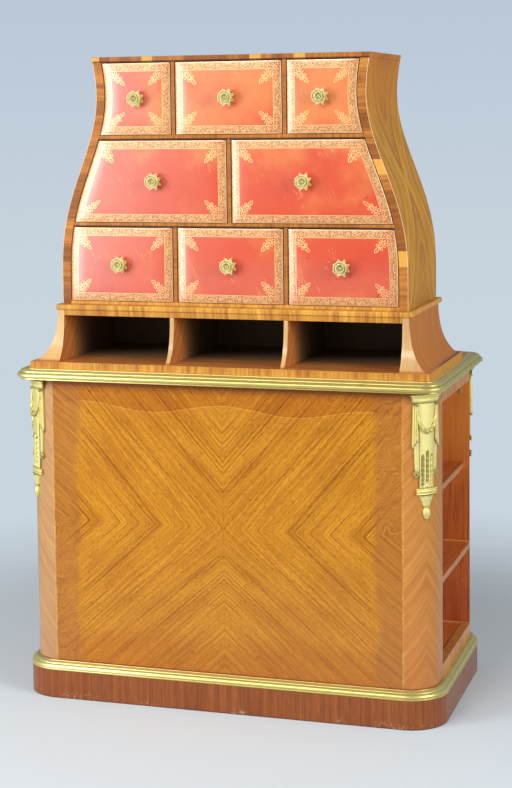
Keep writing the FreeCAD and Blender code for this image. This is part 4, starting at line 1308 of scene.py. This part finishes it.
# Rings of petals: how many, the first one's turn as a share, reach, foot, head and half spread
PETAL_RINGS = (
    (6, 0.0, 15.5, 13.0, 25.5, math.radians(38)),
    (5, 0.3, 10.0, 15.0, 27.0, math.radians(44)),
)


def petal(work, columns, rows, place, thickness, turn):
    """Thin curved blade turned round the knob's axis."""
    verts = sheet(work, columns, rows, place)
    bmesh.ops.rotate(work, verts=verts, cent=(0, 0, 0), matrix=Matrix.Rotation(turn, 3, "Z"))
    faces = joined_to(verts, "link_faces")
    bmesh.ops.recalc_face_normals(work, faces=faces)
    bmesh.ops.solidify(work, geom=faces, thickness=thickness * MM)


def knob_leaf(work, turn):
    """Pointed leaf that curls forward."""
    def place(across, along):
        half = 5.6 * math.sin(math.pi * min(1.0, 0.18 + along * 0.82)) ** 0.75 * (1 - 0.25 * along)
        side = (across * 2 - 1) * half
        radius = 5.0 + 17.0 * along
        height = 5.0 + 3.0 * along + 4.5 * along ** 3 + 1.6 * abs(across * 2 - 1) * (1 - along)
        return Vector((radius, side, height)) * MM

    petal(work, 6, 12, place, 1.1, turn)


def rose_petal(work, turn, reach, foot, head, spread):
    """Cupped petal that rolls outwards at its rim."""
    def place(across, along):
        swing = (across * 2 - 1) * spread
        radius = PETAL_FOOT + (reach - PETAL_FOOT) * math.sin(along * math.pi / 2) ** 0.8
        rolled = head - 2.2 * max(0.0, along - 0.8) / 0.2 * 0.6 - 1.4 * (across * 2 - 1) ** 2 * along
        return round_point(radius, swing, mix(foot, rolled, along ** 1.3))

    petal(work, 8, 9, place, 0.9, turn)


def knob_shape():
    """Leaves, rose, stem, shank and nut of one knob, pointing up."""
    work = bmesh.new()
    leaves = sizes().knob_leaves
    for index in range(leaves):
        knob_leaf(work, 2 * math.pi * (index + 0.5) / leaves)
    for count, first, *shape in PETAL_RINGS:
        for index in range(count):
            rose_petal(work, 2 * math.pi * (index + first) / count, *shape)

    def heart(angle, share):
        radius = 4.4 * math.cos(share * math.pi / 2 * 0.96) ** 0.6 * (1 + 0.10 * math.cos(5 * angle))
        return round_point(radius, angle, 18.0 + 8.0 * share)

    def stem(angle, share):
        radius = 8.2 - 4.6 * math.sin(math.pi * min(1.0, share * 1.3) / 2) + 4.0 * max(0.0, share - 0.7)
        return round_point(radius, angle, 17.0 * share)

    def shank(angle, share):
        return round_point(SHANK_RADIUS, angle, -SHANK_LENGTH * (1 - share))

    tube(work, 20, 8, heart)
    tube(work, 24, 12, stem)
    tube(work, 16, 4, shank)
    bmesh.ops.create_cone(
        work, cap_ends=True, segments=6, radius1=NUT_RADIUS * MM, radius2=NUT_RADIUS * MM,
        depth=NUT_HEIGHT * MM, matrix=Matrix.Translation(UP * (NUT_HEIGHT / 2 - SHANK_LENGTH) * MM),
    )
    return work


# Leather fronts

LEATHER_EDGE = 2.0 * MM             # thickness left at the rolled rim


def spread_to_rims(share):
    """Moves evenly spaced shares closer together near both ends."""
    return share - 0.7 * math.sin(2 * math.pi * share) / (2 * math.pi)


def rolled_over(share):
    """Share of a rolled rim's drop, by the share of its width from the edge."""
    inner = min(1.0, max(0.0, 1 - share))
    return 1 - math.sqrt(1 - inner ** 2.6)


def leather_front(drawer):
    """Rolled and crowned leather front of one drawer, with its distances to the edges in a UV map."""
    low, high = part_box(f"{drawer}_leather")
    roll, rise = sizes().leather_roll, sizes().leather_crown
    work = bmesh.new()
    tooling = work.loops.layers.uv.new("tooling")
    verts = bmesh.ops.create_grid(work, x_segments=72, y_segments=56, size=0.5)["verts"]
    edge_of = {}
    depth = high.y - low.y - LEATHER_EDGE - rise
    for vert in verts:
        across, up = spread_to_rims(vert.co.x + 0.5), spread_to_rims(vert.co.y + 0.5)
        height = mix(low.z, high.z, up)
        reach = case_half_width(height) - LEATHER_INSET
        slope = (case_half_width(height + MM) - case_half_width(height - MM)) / (2 * MM)
        left, right, lean_left, lean_right = low.x, high.x, 1.0, 1.0
        if "_left_" in drawer:
            left, lean_left = -reach, math.cos(math.atan(slope))
        elif "_right_" in drawer:
            right, lean_right = reach, math.cos(math.atan(slope))
        x = mix(left, right, across)
        beside = min((x - left) * lean_left, (right - x) * lean_right)
        level = min(height - low.z, high.z - height)
        ends, rims = rolled_over(beside / roll), rolled_over(level / roll)
        rolled = depth * (1 - (1 - ends) * (1 - 0.35 * rims))
        crown = rise * (1 - (1 - (2 * across - 1) ** 2) * (1 - (2 * up - 1) ** 2))
        vert.co = (x, low.y + crown + rolled, height)
        edge_of[vert] = (beside, level)
    for face in work.faces:
        for loop in face.loops:
            loop[tooling].uv = edge_of[loop.vert]
    close_behind(work, verts, high.y)
    bmesh.ops.recalc_face_normals(work, faces=work.faces)
    return work


# Operators

class CARTONNIER_OT_stage(bpy.types.Operator):
    """Set the camera, the lamps, the light all round and the floor"""

    bl_idname = "cartonnier.stage"
    bl_label = "Stage"

    def execute(self, context):
        scene = context.scene
        stage = scene.cartonnier_stage
        scene.view_settings.view_transform = "Standard"
        self.set_camera(scene, stage)
        self.set_world(scene, stage)
        self.lay_floor(stage)
        for name, place, spread in LAMPS:
            self.hang_lamp(scene, f"{name}_lamp", place, spread, getattr(stage, name))
        return {"FINISHED"}

    def set_camera(self, scene, stage):
        data = bpy.data.cameras.new("camera")
        data.sensor_width = 36
        data.lens = stage.lens
        data.shift_y = stage.shift
        camera = bpy.data.objects.new("camera", data)
        turn = Matrix.Rotation(stage.yaw, 4, "Z") @ Matrix.Rotation(math.pi / 2 - stage.pitch, 4, "X")
        camera.matrix_world = Matrix.Translation(stage.eye) @ turn @ Matrix.Rotation(stage.roll, 4, "Z")
        scene.collection.objects.link(camera)
        scene.camera = camera

    def set_world(self, scene, stage):
        """Pale backdrop for what the camera and reflections see, plain white light for the rest."""
        world = bpy.data.worlds.new("studio")
        world.use_nodes = True
        scene.world = world
        shader = Shader(world.node_tree)
        light = world.node_tree.nodes["Background"]
        rays = shader.node("ShaderNodeLightPath").outputs
        camera, glossy, through = [
            shader.field(rays[f"Is {kind} Ray"]) for kind in ("Camera", "Glossy", "Transmission")
        ]
        height = shader.parts(shader.coordinate("Generated"))[2]
        tone = shader.mix(height.fade(0.10, -0.12), stage.backdrop, stage.backdrop_low)
        tone = shader.mix(height.fade(-0.20, -0.34), tone, stage.floor)
        pale = shader.node("ShaderNodeBackground", {"Color": tone, "Strength": camera.most(stage.dim)})
        light.inputs["Color"].default_value = (1.0, 1.0, 1.0, 1.0)
        light.inputs["Strength"].default_value = stage.sky
        sources = {0: camera.most(glossy, through), 1: light.outputs[0], 2: pale.outputs[0]}
        both = shader.node("ShaderNodeMixShader", sources)
        feed(shader.tree, both.outputs[0], world.node_tree.nodes["World Output"].inputs["Surface"])

    def lay_floor(self, stage):
        """Round floor that fades out towards its rim."""
        work = bmesh.new()
        bmesh.ops.create_circle(work, cap_ends=True, segments=96, radius=FLOOR_RADIUS)
        ground = Finish("studio_floor")
        ground.surface({
            "Base Color": stage.floor,
            "Roughness": 0.9,
            "Specular IOR Level": 0.1,
            "Alpha": ground.apart(ground.x, ground.y).fade(2.1, 0.75),
        })
        floor = new_piece("studio_floor", work, ground.material)
        floor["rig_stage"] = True

    def hang_lamp(self, scene, name, place, spread, power):
        data = bpy.data.lights.new(name, "AREA")
        data.shape = "RECTANGLE"
        data.size, data.size_y = spread
        data.energy = power
        lamp = bpy.data.objects.new(name, data)
        aim = LAMP_AIM - Vector(place)
        lamp.matrix_world = Matrix.Translation(place) @ aim.to_track_quat("-Z", "Y").to_matrix().to_4x4()
        scene.collection.objects.link(lamp)


class CARTONNIER_OT_low_cabinet(bpy.types.Operator):
    """Veneer the low cabinet's panels, posts, plinth and open ends"""

    bl_idname = "cartonnier.low_cabinet"
    bl_label = "Low cabinet"

    def execute(self, context):
        for node in ("front_panel", "back_panel"):
            eased_board(node, quarter_veneer())
        for name, side, end in CORNERS:
            eased_board(f"{name}_post", post_veneer())
        for node in ("left_shelves", "right_shelves", "bottom_board"):
            eased_board(node, shelf_wood())
        eased_board("centre_partition", open_end_wood())
        eased_board("side_rails", end_rail_wood())
        paint_node("base_top", level_banding())
        out = (PLINTH_HIGH.x - BODY_HALF) / MM
        inner, top = out - PLINTH_THICKNESS, PLINTH_HIGH.z / MM
        foot = swell((out - 1.5, 0.0), (out, 1.5), 0.45, 3)
        profile = [(inner, 0.0), *foot, (out, top), (inner, top)]
        piece = new_piece("plinth_finish", around_body(profile), plinth_veneer())
        stand_for(piece, "plinth")
        return {"FINISHED"}


class CARTONNIER_OT_brass_lines(bpy.types.Operator):
    """Run the brass moulding round the top and the brass band round the foot"""

    bl_idname = "cartonnier.brass_lines"
    bl_label = "Brass mouldings"

    def execute(self, context):
        brass = gilt_bronze("burnished_brass", 0.45, 0.04, 0.7, 0.0, 1.0)
        out, foot, top = (MOULDING_HIGH.x - BODY_HALF) / MM, MOULDING_LOW.z / MM, MOULDING_HIGH.z / MM
        profile = [
            (out - 36, foot),
            (out - 8.5, foot),
            (out - 7.6, foot + 0.6),
            (out - 7.4, foot + 2.6),
            (out - 7.8, foot + 3.2),
            *swell((out - 6.0, foot + 3.8), (out - 6.4, foot + 15.4), 5.9, 14),
            (out - 7.6, foot + 15.8),
            (out - 7.9, foot + 16.8),
            *swell((out - 7.2, foot + 17.4), (out - 11.8, top - 1.6), 1.0, 6),
            (out - 12.6, top - 1.8),
            (out - 13.6, top - 1.8),
            *swell((out - 14.2, top - 0.9), (out - 19.6, top - 0.6), 0.6, 4),
            (out - 20.2, top - 1.4),
            (out - 21.4, top - 1.4),
            (out - 22.0, top),
            (out - 36, top),
        ]
        self.line("top_moulding", around_body(profile, MOULDING_CORNER), brass)
        out, foot, top = (BAND_HIGH.x - BODY_HALF) / MM, BAND_LOW.z / MM, BAND_HIGH.z / MM
        profile = [
            (0, foot),
            (out - 0.8, foot),
            *swell((out - 0.4, foot + 0.6), (out - 0.4, foot + 3.0), 0.4, 4),
            (out - 1.6, foot + 3.6),
            *swell((out - 1.8, foot + 4.2), (out - 6.4, top - 6.0), 1.6, 6),
            (out - 7.0, top - 5.6),
            *swell((out - 7.2, top - 5.2), (3.4, top - 0.9), 2.2, 10),
            (2.4, top - 0.8),
            (2.0, top),
            (0, top),
        ]
        self.line("plinth_band", around_body(profile), brass)
        paint_node("shelf_catches", brass)
        return {"FINISHED"}

    def line(self, node, work, brass):
        mark_hollows(work, 0, 3.0 * MM)
        stand_for(new_piece(f"{node}_finish", work, brass, math.radians(50)), node)


class CARTONNIER_OT_corner_mounts(bpy.types.Operator):
    """Cast the four corner mounts with their drapery, husks and pendants"""

    bl_idname = "cartonnier.corner_mounts"
    bl_label = "Corner mounts"

    def execute(self, context):
        brass = gilt_bronze("gilt_bronze", 0.9, 0.25, 0.8, 0.0, 0.0)
        for name, side, end in CORNERS:
            work = mount_shape()
            bmesh.ops.recalc_face_normals(work, faces=work.faces)
            wrap_on_post(work, side, end)
            bmesh.ops.recalc_face_normals(work, faces=work.faces)
            mark_hollows(work)
            stand_for(new_piece(f"{name}_mount_casting", work, brass), f"{name}_mount")
        return {"FINISHED"}


class CARTONNIER_OT_pigeonholes(bpy.types.Operator):
    """Veneer the pigeonholes and the ledge over them"""

    bl_idname = "cartonnier.pigeonholes"
    bl_label = "Pigeonholes"

    def execute(self, context):
        for node in ("pigeonhole_left_side", "pigeonhole_right_side", "pigeonhole_dividers"):
            eased_board(node, niche_veneer())
        for node in ("pigeonhole_floor", "pigeonhole_top"):
            eased_board(node, niche_inside())
        eased_board("ledge", level_banding())
        paint_node("pigeonhole_back", shaded_back_wood())
        return {"FINISHED"}


class CARTONNIER_OT_drawer_case(bpy.types.Operator):
    """Veneer the S-curved drawer case and band its edges"""

    bl_idname = "cartonnier.drawer_case"
    bl_label = "Drawer case"

    def execute(self, context):
        for node in ("case_left_side", "case_right_side"):
            eased_board(node, case_veneer())
        eased_board("case_bottom", level_banding())
        eased_board("case_top", case_top_veneer())
        eased_board("dust_boards", rail_banding())
        for row in ("upper", "middle", "lower"):
            eased_board(f"{row}_row_dividers", divider_banding())
        paint_node("case_back", shaded_back_wood())
        return {"FINISHED"}


class CARTONNIER_OT_drawers(bpy.types.Operator):
    """Make the drawers' boards, rolled leather fronts and flower knobs"""

    bl_idname = "cartonnier.drawers"
    bl_label = "Drawers"

    def execute(self, context):
        gilt = gilt_bronze("knob_gilding", 1.0, 0.2, 1.5, 0.45, 0.0)
        for drawer in DRAWERS:
            paint_node(f"{drawer}_box", drawer_wood())
            leather = new_piece(f"{drawer}_front", leather_front(drawer), red_leather(), math.radians(60))
            stand_for(leather, f"{drawer}_leather")
            self.knob(drawer, gilt)
        return {"FINISHED"}

    def knob(self, drawer, gilt):
        low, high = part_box(f"{drawer}_knob")
        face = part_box(f"{drawer}_leather")[0].y
        work = knob_shape()
        mark_hollows(work)
        middle = Vector(((low.x + high.x) / 2, face, (low.z + high.z) / 2))
        turn = Matrix.Translation(middle) @ Matrix.Rotation(math.pi / 2, 4, "X")
        bmesh.ops.transform(work, matrix=turn, verts=work.verts)
        stand_for(new_piece(f"{drawer}_rose", work, gilt), f"{drawer}_knob")


class CARTONNIER_PT_panel(bpy.types.Panel):
    """Lists the pieces of the cartonnier, their sizes and colours, and the stage's settings"""

    bl_idname = "CARTONNIER_PT_panel"
    bl_label = "Cartonnier"
    bl_space_type = "VIEW_3D"
    bl_region_type = "UI"
    bl_category = "Cartonnier"

    def draw(self, context):
        for operator in OPERATORS:
            self.layout.operator(operator.bl_idname)
        for name, group in GROUPS.items():
            box = self.layout.box()
            for setting in group.__annotations__:
                box.prop(getattr(context.scene, name), setting)


OPERATORS = (
    CARTONNIER_OT_stage,
    CARTONNIER_OT_low_cabinet,
    CARTONNIER_OT_brass_lines,
    CARTONNIER_OT_corner_mounts,
    CARTONNIER_OT_pigeonholes,
    CARTONNIER_OT_drawer_case,
    CARTONNIER_OT_drawers,
)
GROUPS = {
    "cartonnier_sizes": CartonnierSizes,
    "cartonnier_colours": CartonnierColours,
    "cartonnier_stage": CartonnierStage,
}


def register():
    for name, group in GROUPS.items():
        bpy.utils.register_class(group)
        setattr(bpy.types.Scene, name, bpy.props.PointerProperty(type=group))
    for kind in (*OPERATORS, CARTONNIER_PT_panel):
        bpy.utils.register_class(kind)


def unregister():
    for kind in reversed((*OPERATORS, CARTONNIER_PT_panel)):
        bpy.utils.unregister_class(kind)
    for name, group in GROUPS.items():
        delattr(bpy.types.Scene, name)
        bpy.utils.unregister_class(group)


def main():
    register()
    bpy.ops.cartonnier.stage()
    bpy.ops.cartonnier.low_cabinet()
    bpy.ops.cartonnier.brass_lines()
    bpy.ops.cartonnier.corner_mounts()
    bpy.ops.cartonnier.pigeonholes()
    bpy.ops.cartonnier.drawer_case()
    bpy.ops.cartonnier.drawers()
    boxes = {"cad": CAD_BOX, "visual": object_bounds()}
    {name: [list(corner) for corner in box] for name, box in boxes.items()}


if __name__ == "__main__":
    main()
